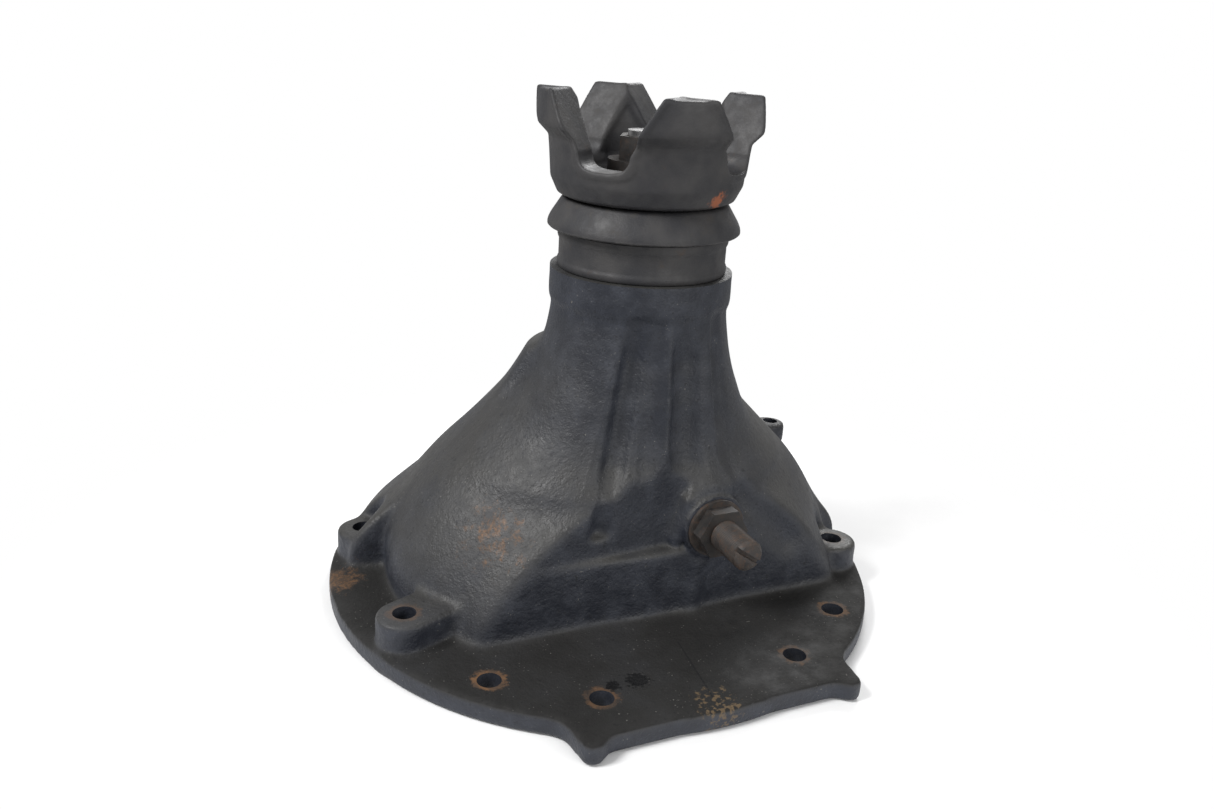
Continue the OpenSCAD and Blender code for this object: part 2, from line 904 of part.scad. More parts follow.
module plain_case_half() {
    color("slategray")
    on_axle() mirror([0, 0, 1])
        difference() {
            rotate_extrude()
                polygon([[0, 0], [case_r, 0], [case_r, 36], [62, 36], [60, 52], [42, 58],
                         [42, -plain_bearing[1]], [trunnion_r, -plain_bearing[1]],
                         [trunnion_r, 96], [0, 96]]);
            case_cavity();
            case_bolt_places() rod(5, -eps, 40);
        }
}

module case_bolts() {
    color("gray")
    on_axle()
        case_bolt_places() {
            rod(5, -37, 24);
            hexagon(14, -42, -36);
        }
}

module spider_cross() {
    color("silver")
    on_axle() {
        rod(17, -14, 14);
        for (turn = [0, 90])
            rotate([0, 0, turn]) rotate([0, 90, 0]) rod(spider_bore_r - running, 1 - case_r, case_r - 1);
    }
}

module spider_thrust_washers() {
    color("goldenrod")
    on_axle()
        for (turn = [0, 90, 180, 270])
            rotate([0, 0, turn]) rotate([0, 90, 0]) tube(27, spider_bore_r, spider_back + 0.1, spider_seat);
}

module side_gear_thrust_washers() {
    color("goldenrod")
    on_axle() {
        tube(48, side_hub_r + 0.5, gear_back + 0.1, gear_seat);
        tube(48, side_hub_r + 0.5, -gear_seat, -gear_back - 0.1);
    }
}

module side_gear() {
    difference() {
        union() {
            bevel_teeth(side_teeth, side_cone, diff_module, diff_face_w, -diff_shift,
                        diff_backlash, 0, 1, 3, [[19, 22]], [[45, 39], [45, gear_back], [19, gear_back]]);
            tube(side_hub_r, 20, gear_back - 2, hub_seat - eps);
        }
        rod(shaft_bore_d / 2, 0, 100);
    }
}

module ring_side_gear() { color("silver") on_axle() side_gear(); }

module plain_side_gear() { color("silver") on_axle() mirror([0, 0, 1]) side_gear(); }

// A spider pinion on the arm of the cross at this angle round the axle
module spider_pinion(angle) {
    color("silver")
    on_axle() rotate([0, 0, angle]) rotate([0, 90, 0]) rotate([0, 0, 180 / spider_teeth])
        difference() {
            bevel_teeth(spider_teeth, 90 - side_cone, diff_module, diff_face_w, diff_shift,
                        diff_backlash, 0, 1, 4, [[9, 31]], [[25.5, 52.5], [25.5, spider_back], [9, spider_back]]);
            rod(spider_bore_r, 0, 100);
        }
}

module spider_pinion_front() { spider_pinion(0); }

module spider_pinion_top() { spider_pinion(90); }

module spider_pinion_back() { spider_pinion(180); }

module spider_pinion_bottom() { spider_pinion(270); }

carrier_housing();
ring_side_bearing_cap();
plain_side_bearing_cap();
bearing_cap_bolts();
ring_side_adjuster();
plain_side_adjuster();
adjuster_locks();
adjuster_lock_bolts();
ring_side_bearing_cup();
plain_side_bearing_cup();
inner_pinion_bearing_cup();
outer_pinion_bearing_cup();
pinion_depth_shim();
pilot_bearing_outer_race();
seal_carrier();
pinion_oil_seal();
thrust_screw();
thrust_screw_nut();
thrust_screw_washer();
thrust_pad();
drive_pinion();
inner_pinion_bearing_cone();
outer_pinion_bearing_cone();
pinion_bearing_spacer();
pilot_bearing_inner_race();
end_yoke();
dust_deflector();
pinion_nut();
inner_pinion_rollers();
inner_pinion_cage();
outer_pinion_rollers();
outer_pinion_cage();
pilot_rollers();
ring_gear();
ring_gear_bolts();
flange_case_half();
plain_case_half();
case_bolts();
spider_cross();
spider_thrust_washers();
side_gear_thrust_washers();
ring_side_bearing_cone();
plain_side_bearing_cone();
ring_side_gear();
plain_side_gear();
spider_pinion_front();
spider_pinion_top();
spider_pinion_back();
spider_pinion_bottom();
ring_side_rollers();
ring_side_cage();
plain_side_rollers();
plain_side_cage();
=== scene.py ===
import json
import math

import bmesh
import bpy
import numpy as np
import openvdb
from mathutils import Matrix, Vector


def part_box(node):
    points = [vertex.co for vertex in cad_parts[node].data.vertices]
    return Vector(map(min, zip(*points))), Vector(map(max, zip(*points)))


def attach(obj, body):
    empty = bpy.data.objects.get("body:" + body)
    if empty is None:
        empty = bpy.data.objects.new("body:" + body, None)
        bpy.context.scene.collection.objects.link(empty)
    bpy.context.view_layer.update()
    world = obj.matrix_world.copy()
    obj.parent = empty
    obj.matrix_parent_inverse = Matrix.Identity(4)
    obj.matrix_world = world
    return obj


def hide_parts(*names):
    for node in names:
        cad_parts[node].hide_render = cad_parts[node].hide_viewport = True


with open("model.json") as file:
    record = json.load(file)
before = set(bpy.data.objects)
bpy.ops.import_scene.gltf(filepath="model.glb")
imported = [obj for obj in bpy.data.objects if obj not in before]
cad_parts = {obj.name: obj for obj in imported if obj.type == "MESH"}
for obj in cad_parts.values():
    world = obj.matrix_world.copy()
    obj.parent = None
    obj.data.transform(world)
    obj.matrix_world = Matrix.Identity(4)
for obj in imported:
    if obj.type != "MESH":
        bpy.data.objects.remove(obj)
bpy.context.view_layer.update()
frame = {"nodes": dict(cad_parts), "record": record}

# Places and sizes below are in millimetres unless a name says otherwise
MM = 0.001


def mm_box(node):
    low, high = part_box(node)
    return np.array(low) / MM, np.array(high) / MM


def mount(name):
    return next(m for m in frame["record"]["mounts"] if m["name"] == name)


HOUSING_LOW, HOUSING_HIGH = mm_box("carrier_housing")
YOKE_LOW, YOKE_HIGH = mm_box("end_yoke")
SCREW_LOW, SCREW_HIGH = mm_box("thrust_screw")
BAND_LOW, BAND_HIGH = mm_box("seal_carrier")

PINION = np.array(mount("drive_line_yoke")["pos_m"][:2]) / MM
AXLE_Z = mount("ring_side_axle_shaft")["pos_m"][2] / MM
FLANGE_R = HOUSING_HIGH[0]
FLANGE_T = 16.5
BOSS_Z = FLANGE_T + 24
BOSS_R = 21
STRAIGHT_Y = -222
TAB_X, TAB_R = 101, 8
FRONT_Y = -103
NECK_TOP = HOUSING_HIGH[2]
NECK_R = 68
SCREW = np.array([(SCREW_LOW[0] + SCREW_HIGH[0]) / 2, (SCREW_LOW[2] + SCREW_HIGH[2]) / 2])
SCREW_R = (SCREW_HIGH[0] - SCREW_LOW[0]) / 2
SCREW_HOLE_R = 12
LUG = np.array(mount("side_lug_hole")["pos_m"]) / MM
LUG_R, LUG_HALF_T, LUG_HOLE_R = 13, 10, 6.5
SPOT_FACE_R = 18


def bolt_places():
    """The twelve bolt holes of the flange, from its three rectangles of four."""
    for m in frame["record"]["mounts"]:
        if m["kind"] == "bolt_pattern":
            x, y = m["dims"]["spacing_x_mm"] / 2, m["dims"]["spacing_y_mm"] / 2
            for sx in (-1, 1):
                for sy in (-1, 1):
                    yield sx * x, sy * y


BOLTS = list(bolt_places())
BOLT_HOLE_R = mount("flange_holes_sides")["dims"]["hole_r_mm"]
RAISED = [(x, y) for x, y in BOLTS if abs(x) > 180 and not (x > 0 and y > 0)]


# ---------- Castings as distance fields ----------

def smooth_min(a, b, k):
    h = np.clip(0.5 + 0.5 * (b - a) / k, 0, 1)
    return b + (a - b) * h - k * h * (1 - h)


def smooth_max(a, b, k):
    return -smooth_min(-a, -b, k)


def through(points, per_span=8):
    """A dense, smooth curve through these points."""
    p = np.array([points[0], *points, points[-1]], float)
    t = np.linspace(0, 1, per_span, endpoint=False)[:, None]
    spans = [
        b + 0.5 * ((c - a) * t + (2 * a - 5 * b + 4 * c - d) * t ** 2 + (3 * b - a - 3 * c + d) * t ** 3)
        for a, b, c, d in zip(p, p[1:], p[2:], p[3:])
    ]
    return [tuple(q) for q in np.vstack([*spans, p[-1:]])]


class Outline:
    """Signed distance to a closed outline in two dimensions, kept as a fine table."""

    STEP = 1.0

    def __init__(self, points, low, high):
        u = np.arange(low[0], high[0] + self.STEP, self.STEP)[:, None]
        v = np.arange(low[1], high[1] + self.STEP, self.STEP)[None, :]
        nearest = np.full((u.size, v.size), 1e9)
        inside = np.zeros(nearest.shape, bool)
        for (ax, ay), (bx, by) in zip(points, points[1:] + points[:1]):
            ex, ey = bx - ax, by - ay
            length = ex * ex + ey * ey
            if length < 1e-9:
                continue
            t = np.clip(((u - ax) * ex + (v - ay) * ey) / length, 0, 1)
            nearest = np.minimum(nearest, (u - ax - ex * t) ** 2 + (v - ay - ey * t) ** 2)
            if abs(ey) > 1e-9:
                inside ^= ((ay <= v) != (by <= v)) & (u < ax + (v - ay) * ex / ey)
        self.low = low
        self.table = (np.where(inside, -1, 1) * np.sqrt(nearest)).astype(np.float32)

    def at(self, u, v):
        i = np.clip((u - self.low[0]) / self.STEP, 0, self.table.shape[0] - 1.001)
        j = np.clip((v - self.low[1]) / self.STEP, 0, self.table.shape[1] - 1.001)
        i0, j0 = i.astype(np.int32), j.astype(np.int32)
        i, j = (i - i0).astype(np.float32), (j - j0).astype(np.float32)
        t = self.table
        return (t[i0, j0] * (1 - i) + t[i0 + 1, j0] * i) * (1 - j) + (
            t[i0, j0 + 1] * (1 - i) + t[i0 + 1, j0 + 1] * i) * j


class Casting:
    """A solid as signed distances on a grid: below zero is metal."""

    def __init__(self, low, high, step):
        self.low, self.step = np.array(low, float), step
        count = ((np.array(high) - self.low) / step).astype(int) + 1
        self.axes = [(self.low[k] + step * np.arange(count[k])).astype(np.float32) for k in range(3)]
        self.value = np.full(count, 1000, np.float32)

    def _within(self, box):
        """The part of the grid inside box, as slices, with its three coordinates."""
        if box is None:
            cuts = [slice(0, len(a)) for a in self.axes]
        else:
            cuts = [slice(*np.searchsorted(a, (box[0][k], box[1][k]))) for k, a in enumerate(self.axes)]
        x, y, z = (a[c] for a, c in zip(self.axes, cuts))
        return tuple(cuts), x[:, None, None], y[None, :, None], z[None, None, :]

    def add(self, shape, blend=1.0, box=None):
        cuts, x, y, z = self._within(box)
        self.value[cuts] = smooth_min(self.value[cuts], shape(x, y, z), blend)

    def cut(self, shape, blend=1.0, box=None):
        cuts, x, y, z = self._within(box)
        self.value[cuts] = smooth_max(self.value[cuts], -shape(x, y, z), blend)

    def soften(self, times=1):
        """Rounds every edge and corner a little, as sand casting does."""
        for _ in range(times):
            for axis in range(3):
                v = self.value
                self.value = (np.roll(v, 1, axis) + 2 * v + np.roll(v, -1, axis)) / 4

    def mesh(self, name):
        grid = openvdb.FloatGrid(self.step * 3)
        clipped = np.clip(self.value, -self.step * 3, self.step * 3)
        grid.copyFromArray(clipped.astype(np.float32))
        grid.transform = openvdb.createLinearTransform(voxelSize=self.step)
        points, quads = grid.convertToQuads(isovalue=0.0)
        points = (points + self.low) * MM
        data = bpy.data.meshes.new(name)
        data.from_pydata(points.tolist(), [], quads[:, ::-1].tolist())
        data.validate()
        return link(bpy.data.objects.new(name, data))


def link(piece):
    bpy.context.scene.collection.objects.link(piece)
    return piece


def lathe(outline, cx, cy):
    """Turns an outline of (radius, height) about an upright line."""
    return lambda x, y, z: outline.at(np.hypot(x - cx, y - cy), z)


def upright(cx, cy, r, low, high, edge=2.0):
    """A cylinder with rounded edges."""
    def shape(x, y, z):
        side = np.hypot(x - cx, y - cy) - r
        ends = np.abs(z - (low + high) / 2) - (high - low) / 2
        return smooth_max(side, ends, edge)
    return shape


def along_y(cx, cz, r, low, high, edge=2.0):
    def shape(x, y, z):
        side = np.hypot(x - cx, z - cz) - r
        ends = np.abs(y - (low + high) / 2) - (high - low) / 2
        return smooth_max(side, ends, edge)
    return shape


def block(low, high, edge=2.0):
    """A box with rounded edges."""
    def shape(x, y, z):
        dx, dy, dz = (np.abs(p - (a + b) / 2) - (b - a) / 2 for p, a, b in zip((x, y, z), low, high))
        return smooth_max(smooth_max(dx, dy, edge), dz, edge)
    return shape


def rod(a, b, r):
    """A rod with round ends between two points."""
    a, b = np.array(a, float), np.array(b, float)
    d = b - a

    def shape(x, y, z):
        t = ((x - a[0]) * d[0] + (y - a[1]) * d[1] + (z - a[2]) * d[2]) / (d @ d)
        t = np.clip(t, 0, 1)
        dx, dy, dz = (p - a[k] - d[k] * t for k, p in enumerate((x, y, z)))
        return np.sqrt(dx ** 2 + dy ** 2 + dz ** 2) - r
    return shape


# ---------- Carrier housing ----------

WALL = 12
CAVITY_TOP = 111
CAVITY_R = 170
OPENING_R = 172
RING_GEAR_ROOM_R = 156
BOLT_HEAD_ROOM_R = 108

# Bulge over the ring gear: an outline of radius and height round DOME_AT, inside a cone about the axle
DOME_AT = (PINION[0], 0.0)
DOME_PROFILE = [(193, 0), (192, 48), (177, 80), (158, 106), (130, 134), (105, 160), (82, 184)]
FRONT_EDGE_R = 168
CONE_SLOPE = 0.62

# Cone over the back half
SKIRT_AT = (4.0, 0.0)
SKIRT_PROFILE = [(212, 0), (209, 42), (159, 91), (123, 132), (91, 171), (70, 205)]
SKIRT_TURN = -12
SKIRT_FRONT = 2

# Neck, and how much closer its front is than its sides at each height
NECK_PROFILE = [(125, 118), (98, 156), (84, 184), (76, 205), (71, 226), (NECK_R, 246), (NECK_R, 262)]
NECK_FLAT_Z = (60, 118, 140, 156, 184, 205, 226, 246)
NECK_FLAT = (1.45, 1.42, 1.36, 1.28, 1.13, 1.055, 1.02, 1.0)
NEAR_NECK = ((-130, -130, 90), (150, 60, 270))

# Each rib: angle round the neck, lean, height, width of its crest, lower and upper end
RIBS = [(-122, -0.16, 14, 2.5, (104, 258)), (-95, 0.0, 9, 4, (112, 250)), (-66, 0.04, 8, 3, (128, 258))]
# Each hollow: angle, lean, radius, depth, lower and upper end
FLUTES = [(-114, -0.13, 9, 9, (118, 250)), (-104, -0.03, 10, 4, (122, 245)), (-83, 0.0, 17, 8, (118, 248)),
          (-59, 0.04, 7, 3.5, (150, 250))]

# Shelf across the front wall, which stands back above it
SHELF_Z = 73
SHELF_X = (-106, 26)
SHELF_SLOPE = 0.072

# Seats of the side bearings and the pilot bearing
SADDLE_HALF_W = 78
RING_SADDLE_Y, PLAIN_SADDLE_Y = (-137, -95), (44, 87)
SIDE_BORE_R = 50
CAP_BOLT_X, CAP_BOLT_R = 63, 8
PILOT_Z = (43, 56)
PILOT_R = 38
# Bores on the pinion axis: radius, bottom and top, each reaching a little into the next
PINION_BORES = [(32, 38, 60), (59, 56.5, 112), (62, 111, 147), (46, 146, 208), (50, 207, 237), (54, 236, 280)]


def turned_solid(profile, low_z=-80):
    """The outline inside a profile curve of (radius, height), down to low_z."""
    curve = through(profile)
    closed = [(0.0, low_z), (profile[0][0], low_z), *curve, (0.0, curve[-1][1])]
    return Outline(closed, (-4, -84), (300, 300))


def dome_shape(less):
    plan = lathe(turned_solid(DOME_PROFILE), *DOME_AT)

    def shape(x, y, z):
        rho = np.hypot(x - PINION[0], z - AXLE_Z)
        cone = (rho - FRONT_EDGE_R - CONE_SLOPE * (y - FRONT_Y)) / math.hypot(1, CONE_SLOPE)
        front = FRONT_Y - y
        return smooth_max(smooth_max(cone, front, 7), plan(x, y, z), 16) + less
    return shape


def skirt_shape(less):
    cone = lathe(turned_solid(SKIRT_PROFILE), *SKIRT_AT)
    c, s = math.cos(math.radians(SKIRT_TURN)), math.sin(math.radians(SKIRT_TURN))

    def shape(x, y, z):
        front = SKIRT_FRONT - (y * c - x * s)
        return smooth_max(cone(x, y, z), front, 6) + less
    return shape


def neck_shape():
    """The neck: round at its top, and flatter at the front the lower it gets."""
    foot = [(0.0, 60), (NECK_PROFILE[0][0], 60)]
    body = Outline([*foot, *through(NECK_PROFILE), (0.0, 262)], (-4, 56), (300, 270))

    def shape(x, y, z):
        flat = np.interp(z, NECK_FLAT_Z, NECK_FLAT).astype(np.float32)
        depth = np.where(y < PINION[1], flat, 1) * (y - PINION[1])
        around = body.at(np.hypot(x - PINION[0], depth), z)
        return smooth_max(around, FRONT_Y - y, 8)
    return shape


def collar_shape():
    return upright(*PINION, NECK_R + 2, 250, NECK_TOP + 6, 1.5)


def around_neck(angle):
    """How far a point is out from the pinion axis along an angle, and how far beside that line."""
    c, s = math.cos(math.radians(angle)), math.sin(math.radians(angle))

    def place(x, y):
        return (x - PINION[0]) * c + (y - PINION[1]) * s, -(x - PINION[0]) * s + (y - PINION[1]) * c
    return place


def fade_ends(z, span, low, high, at_low=0.0):
    """Rises from at_low to 1 over the distance low above the span's foot, and falls to 0 before its top."""
    heights = (span[0], span[0] + low, span[1] - high, span[1])
    return np.interp(z, heights, (at_low, 1, 1, 0)).astype(np.float32)


def rib_shape(neck, angle, lean, height, width, span):
    """A web standing on the neck. lean moves its foot sideways, and span is its lower and upper end."""
    place = around_neck(angle)

    def shape(x, y, z):
        out, beside = place(x, y)
        surface = neck(x, y, z)
        fade = fade_ends(z, span, 25, 30, 0.2)
        across = np.abs(beside - lean * (span[1] - z))
        flank = across - width / 2 + np.maximum(surface, -3) * 0.5
        web = smooth_max(flank, surface - height * fade, 2)
        ends = np.abs(z - sum(span) / 2) - (span[1] - span[0]) / 2
        return np.maximum(np.maximum(web, 30 - out), ends)
    return shape


def flute_shape(neck, angle, lean, r, depth, span):
    """A hollow down the neck, beside a rib."""
    place = around_neck(angle)

    def shape(x, y, z):
        out, beside = place(x, y)
        fade = fade_ends(z, span, 20, 30)
        away = neck(x, y, z) - r + depth * fade
        hollow = np.hypot(beside - lean * (span[1] - z), away) - r
        return np.maximum(np.maximum(hollow, 30 - out), z - span[1])
    return shape


def flange_shape():
    """The plate: a disc with one straight edge, and a tab at each end of that edge."""
    def shape(x, y, z):
        disc = np.hypot(x, y) - FLANGE_R
        straight = np.maximum(np.abs(x) - TAB_X, np.maximum(STRAIGHT_Y - y, y + 100))
        plate = np.minimum(disc, straight)
        for side in (-1, 1):
            along = np.clip(y - STRAIGHT_Y, 0, 30)
            tip = np.hypot(x - side * TAB_X, y - STRAIGHT_Y - along) - TAB_R - 0.12 * along
            plate = smooth_min(plate, tip, 9)
        return smooth_max(plate, np.abs(z - FLANGE_T / 2) - FLANGE_T / 2, 2)
    return shape


def boss_shape(x0, y0, top):
    """A raised bolt boss, with a shoulder that runs inwards to the dome."""
    reach = math.hypot(x0, y0)
    inward = (-x0 / reach, -y0 / reach)

    def shape(x, y, z):
        u = (x - x0) * inward[0] + (y - y0) * inward[1]
        v = -(x - x0) * inward[1] + (y - y0) * inward[0]
        side = np.hypot(u - np.clip(u, 0, 46), v) - BOSS_R
        return smooth_max(side, z - top, 3)
    return shape


def shelf_shape():
    """Where the upper front wall stands back, above a shelf that deepens towards the screw."""
    def shape(x, y, z):
        back = y - (FRONT_Y + SHELF_SLOPE * (x - SHELF_X[0]))
        return smooth_max(smooth_max(back, SHELF_Z - z, 2), x - SHELF_X[1], 6)
    return shape


def saddle_shape(y_range, top):
    """The block that a side bearing sits in, down to the axle line."""
    left, right = PINION[0] - SADDLE_HALF_W, PINION[0] + SADDLE_HALF_W
    return block((left, y_range[0], AXLE_Z), (right, y_range[1], top), 4)


def cavity_shape():
    """The room for the gears, with more of it where the ring gear and its bolts turn."""
    dome, skirt = dome_shape(WALL), skirt_shape(WALL)
    ring = along_y(PINION[0], AXLE_Z, RING_GEAR_ROOM_R, FRONT_Y + 17, 60, 4)
    heads = along_y(PINION[0], AXLE_Z, BOLT_HEAD_ROOM_R, FRONT_Y + 10, 60, 4)
    opening = upright(*DOME_AT, OPENING_R, -60, 30, 4)

    def shape(x, y, z):
        behind_shelf = smooth_max(dome(x, y, z), FRONT_Y + 14.5 - y, 3)
        round_plan = np.hypot(x - SKIRT_AT[0], y - SKIRT_AT[1]) - CAVITY_R
        inner = smooth_max(np.minimum(behind_shelf, skirt(x, y, z)), round_plan, 3)
        inner = np.minimum(inner, np.minimum(ring(x, y, z), heads(x, y, z)))
        inner = np.minimum(inner, opening(x, y, z))
        top = z - CAVITY_TOP
        front = FRONT_Y + 10 - y
        return smooth_max(smooth_max(inner, top, 10), front, 4)
    return shape


def cylinder_mesh(bm, r, low, high, place, axis="Z", sides=64):
    """A cylinder from low to high along an axis. Along Y, low and high count towards -Y."""
    turn = {"Z": Matrix(), "Y": Matrix.Rotation(math.radians(90), 4, "X")}[axis]
    middle = Matrix.Translation((0, 0, (low + high) / 2 * MM))
    matrix = Matrix.Translation(Vector(place) * MM) @ turn @ middle
    bmesh.ops.create_cone(bm, cap_ends=True, segments=sides, radius1=r * MM, radius2=r * MM,
                          depth=(high - low) * MM, matrix=matrix)


def as_piece(name, bm):
    data = bpy.data.meshes.new(name)
    bm.to_mesh(data)
    bm.free()
    return link(bpy.data.objects.new(name, data))


def cut_with(piece, draw):
    """Cuts the closed shapes that draw(bm) makes out of piece, with sharp machined edges."""
    bm = bmesh.new()
    draw(bm)
    cutter = as_piece("cutter", bm)
    boolean = piece.modifiers.new("cut", "BOOLEAN")
    boolean.operation, boolean.solver, boolean.object = "DIFFERENCE", "MANIFOLD", cutter
    apply_modifiers(piece)
    bpy.data.objects.remove(cutter)


def apply_modifiers(piece):
    bpy.context.view_layer.update()
    graph = bpy.context.evaluated_depsgraph_get()
    data = bpy.data.meshes.new_from_object(piece.evaluated_get(graph))
    piece.modifiers.clear()
    old, piece.data = piece.data, data
    bpy.data.meshes.remove(old)


def smooth_shade(piece, angle=38):
    piece.data.shade_smooth()
    piece.data.set_sharp_from_angle(angle=math.radians(angle))


def housing_holes(bm):
    for x, y in BOLTS:
        cylinder_mesh(bm, BOLT_HOLE_R, -5, 120, (x, y, 0), sides=48)
    cylinder_mesh(bm, LUG_HOLE_R, LUG[2] - 30, LUG[2] + 30, (LUG[0], LUG[1], 0), sides=32)
    cylinder_mesh(bm, SCREW_HOLE_R, 60, 140, (SCREW[0], 0, SCREW[1]), "Y")


def bore(r, low, high):
    def draw(bm):
        cylinder_mesh(bm, r, low, high, (*PINION, 0), sides=96)
    return draw


def bearing_saddle_cuts(bm):
    cylinder_mesh(bm, SIDE_BORE_R, -200, 120, (PINION[0], 0, AXLE_Z), "Y", sides=96)


def cap_bolt_holes(bm):
    for x in (-CAP_BOLT_X, CAP_BOLT_X):
        for y_range in (RING_SADDLE_Y, PLAIN_SADDLE_Y):
            place = (PINION[0] + x, sum(y_range) / 2, 0)
            cylinder_mesh(bm, CAP_BOLT_R, AXLE_Z - 5, AXLE_Z + 38, place, sides=32)


def machined_faces(bm):
    """Flat faces above the neck and below the saddles."""
    cylinder_mesh(bm, 120, NECK_TOP, NECK_TOP + 40, (*PINION, 0))
    cylinder_mesh(bm, 190, AXLE_Z - 30, AXLE_Z, (0, 0, 0))


def add_neck(iron):
    neck = neck_shape()
    iron.add(neck, 18)
    iron.add(collar_shape(), 4, ((-80, -110, 240), (110, 80, 290)))
    for hollow in FLUTES:
        iron.cut(flute_shape(neck, *hollow), 5, NEAR_NECK)
    for rib in RIBS:
        iron.add(rib_shape(neck, *rib), 2.5, NEAR_NECK)


def add_front_wall(iron):
    """The boss of the thrust screw, the shelf, two upright ridges, and the recess beside the boss."""
    iron.add(along_y(*SCREW, 29, -100, -40, 6), 14, ((0, -125, 40), (100, -20, 150)))
    iron.cut(shelf_shape(), 2, ((-130, -130, 60), (60, -60, 150)))
    iron.add(rod((25, -101, 112), (18, -99, 80), 5), 6, ((0, -125, 60), (60, -80, 130)))
    iron.add(rod((35, -102, 61), (31, -103, 14), 5), 9, ((0, -125, 0), (70, -80, 80)))
    iron.cut(rod((76, -114, 110), (122, -116, 66), 17), 9, ((40, -140, 30), (160, -80, 140)))


def add_flange(iron):
    """The plate, the raised bosses, and room for a bolt head wherever a hole meets the walls."""
    iron.add(flange_shape(), 9)
    for x, y in RAISED:
        iron.add(boss_shape(x, y, BOSS_Z), 5, ((x - 80, y - 80, -5), (x + 80, y + 80, 90)))
    for x, y in BOLTS:
        if (x, y) in RAISED or y > 0:
            spot_face = upright(x, y, SPOT_FACE_R, BOSS_Z, BOSS_Z + 90, 2)
            iron.cut(spot_face, 2, ((x - 40, y - 40, 30), (x + 40, y + 40, 140)))


def add_side_lug(iron):
    low, high = LUG[2] - LUG_HALF_T, LUG[2] + LUG_HALF_T
    root = block((LUG[0] - 40, LUG[1] - 12, low), (LUG[0], LUG[1] + 12, high), 3)
    iron.add(root, 6, ((110, 0, 80), (210, 70, 130)))
    iron.add(upright(LUG[0], LUG[1], LUG_R, low, high, 2), 3, ((140, 0, 80), (215, 70, 130)))


def add_bearing_seats(iron):
    iron.add(saddle_shape(RING_SADDLE_Y, FLANGE_T), 3)
    iron.add(saddle_shape(PLAIN_SADDLE_Y, CAVITY_TOP + 1), 3)
    iron.add(upright(*PINION, PILOT_R, *PILOT_Z, 2), 3)
    web = ((PINION[0] - 26, PINION[1], PILOT_Z[0]), (PINION[0] + 26, PINION[1] + 70, PILOT_Z[1]))
    iron.add(block(*web, 2), 3)


def make_housing():
    """The casting as a distance field, with its holes, bores and machined faces cut sharp afterwards."""
    iron = Casting(HOUSING_LOW - 8, HOUSING_HIGH + 8, 1.9)
    iron.add(dome_shape(0), 1)
    iron.add(skirt_shape(0), 5)
    add_neck(iron)
    add_front_wall(iron)
    iron.cut(lambda x, y, z: z, 1)
    add_flange(iron)
    add_side_lug(iron)
    iron.cut(cavity_shape(), 2)
    add_bearing_seats(iron)
    iron.soften(2)
    iron.add(along_y(*SCREW, 26, -109, -90, 1), 2, ((0, -125, 50), (90, -80, 130)))
    housing = iron.mesh("carrier_casting")
    bores = [bore(*sizes) for sizes in PINION_BORES]
    for draw in [housing_holes, *bores, bearing_saddle_cuts, cap_bolt_holes, machined_faces]:
        cut_with(housing, draw)
    smooth_shade(housing)
    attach(housing, "carrier")
    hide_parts("carrier_housing")
    return housing


# ---------- End yoke, dust deflector and seal band ----------

POST_TURN = 83
PAD_Z = 377
SLOT_FLOOR = 352
SLOT_HALF, SLOT_TOP_HALF = 20, 42
SLOT_CORNER_R = 12
BORDER_W, BORDER_H = 5, 1.2
CUP_FLOOR = 345
CUP_BOTTOM = 327
HUB_R = 36
SHAFT_R = 25
YOKE_R = (YOKE_HIGH[0] - YOKE_LOW[0]) / 2


def yoke_body():
    pad = YOKE_R
    profile = [(0, 236), (HUB_R, 236), (HUB_R, CUP_BOTTOM - 1), (60, CUP_BOTTOM), (66.6, CUP_BOTTOM + 2.5),
               (72, CUP_BOTTOM + 14), (73.5, CUP_BOTTOM + 34), (pad - 8.5, PAD_Z - 6), (pad - 0.5, PAD_Z + 2),
               (pad, PAD_Z + 6), (pad - 0.5, YOKE_HIGH[2]), (58, YOKE_HIGH[2]), (55, PAD_Z),
               (54, CUP_FLOOR + 8), (47, CUP_FLOOR), (0, CUP_FLOOR)]
    return lathe(Outline(profile, (-4, 230), (100, 412)), *PINION)


def slot_width(z, more=0.0):
    """Half the width of a slot at a height: rounded at its floor, and widening to the top."""
    r = SLOT_CORNER_R
    rise = np.clip(z - SLOT_FLOOR + more, 0, r)
    corner = r - np.sqrt(np.maximum(r ** 2 - (r - rise) ** 2, 0))
    flare = np.interp(z, (SLOT_FLOOR + r, YOKE_HIGH[2]), (SLOT_HALF, SLOT_TOP_HALF))
    return (flare - corner + more).astype(np.float32)


def slot_shape(angle, more=0.0):
    """One slot, from the yoke's middle outwards. more widens it all round."""
    place = around_neck(angle)

    def shape(x, y, z):
        out, beside = place(x, y)
        side = (np.abs(beside) - slot_width(z, more)) * 0.9
        return smooth_max(smooth_max(side, SLOT_FLOOR - more - z, 3), -out, 1)
    return shape


def raised_border(body, slot):
    """A band round a slot that stands a little above the cup."""
    def shape(x, y, z):
        band = np.maximum(slot(x, y, z), SLOT_FLOOR - BORDER_W - 1 - z)
        return smooth_max(body(x, y, z) - BORDER_H, band, 1)
    return shape


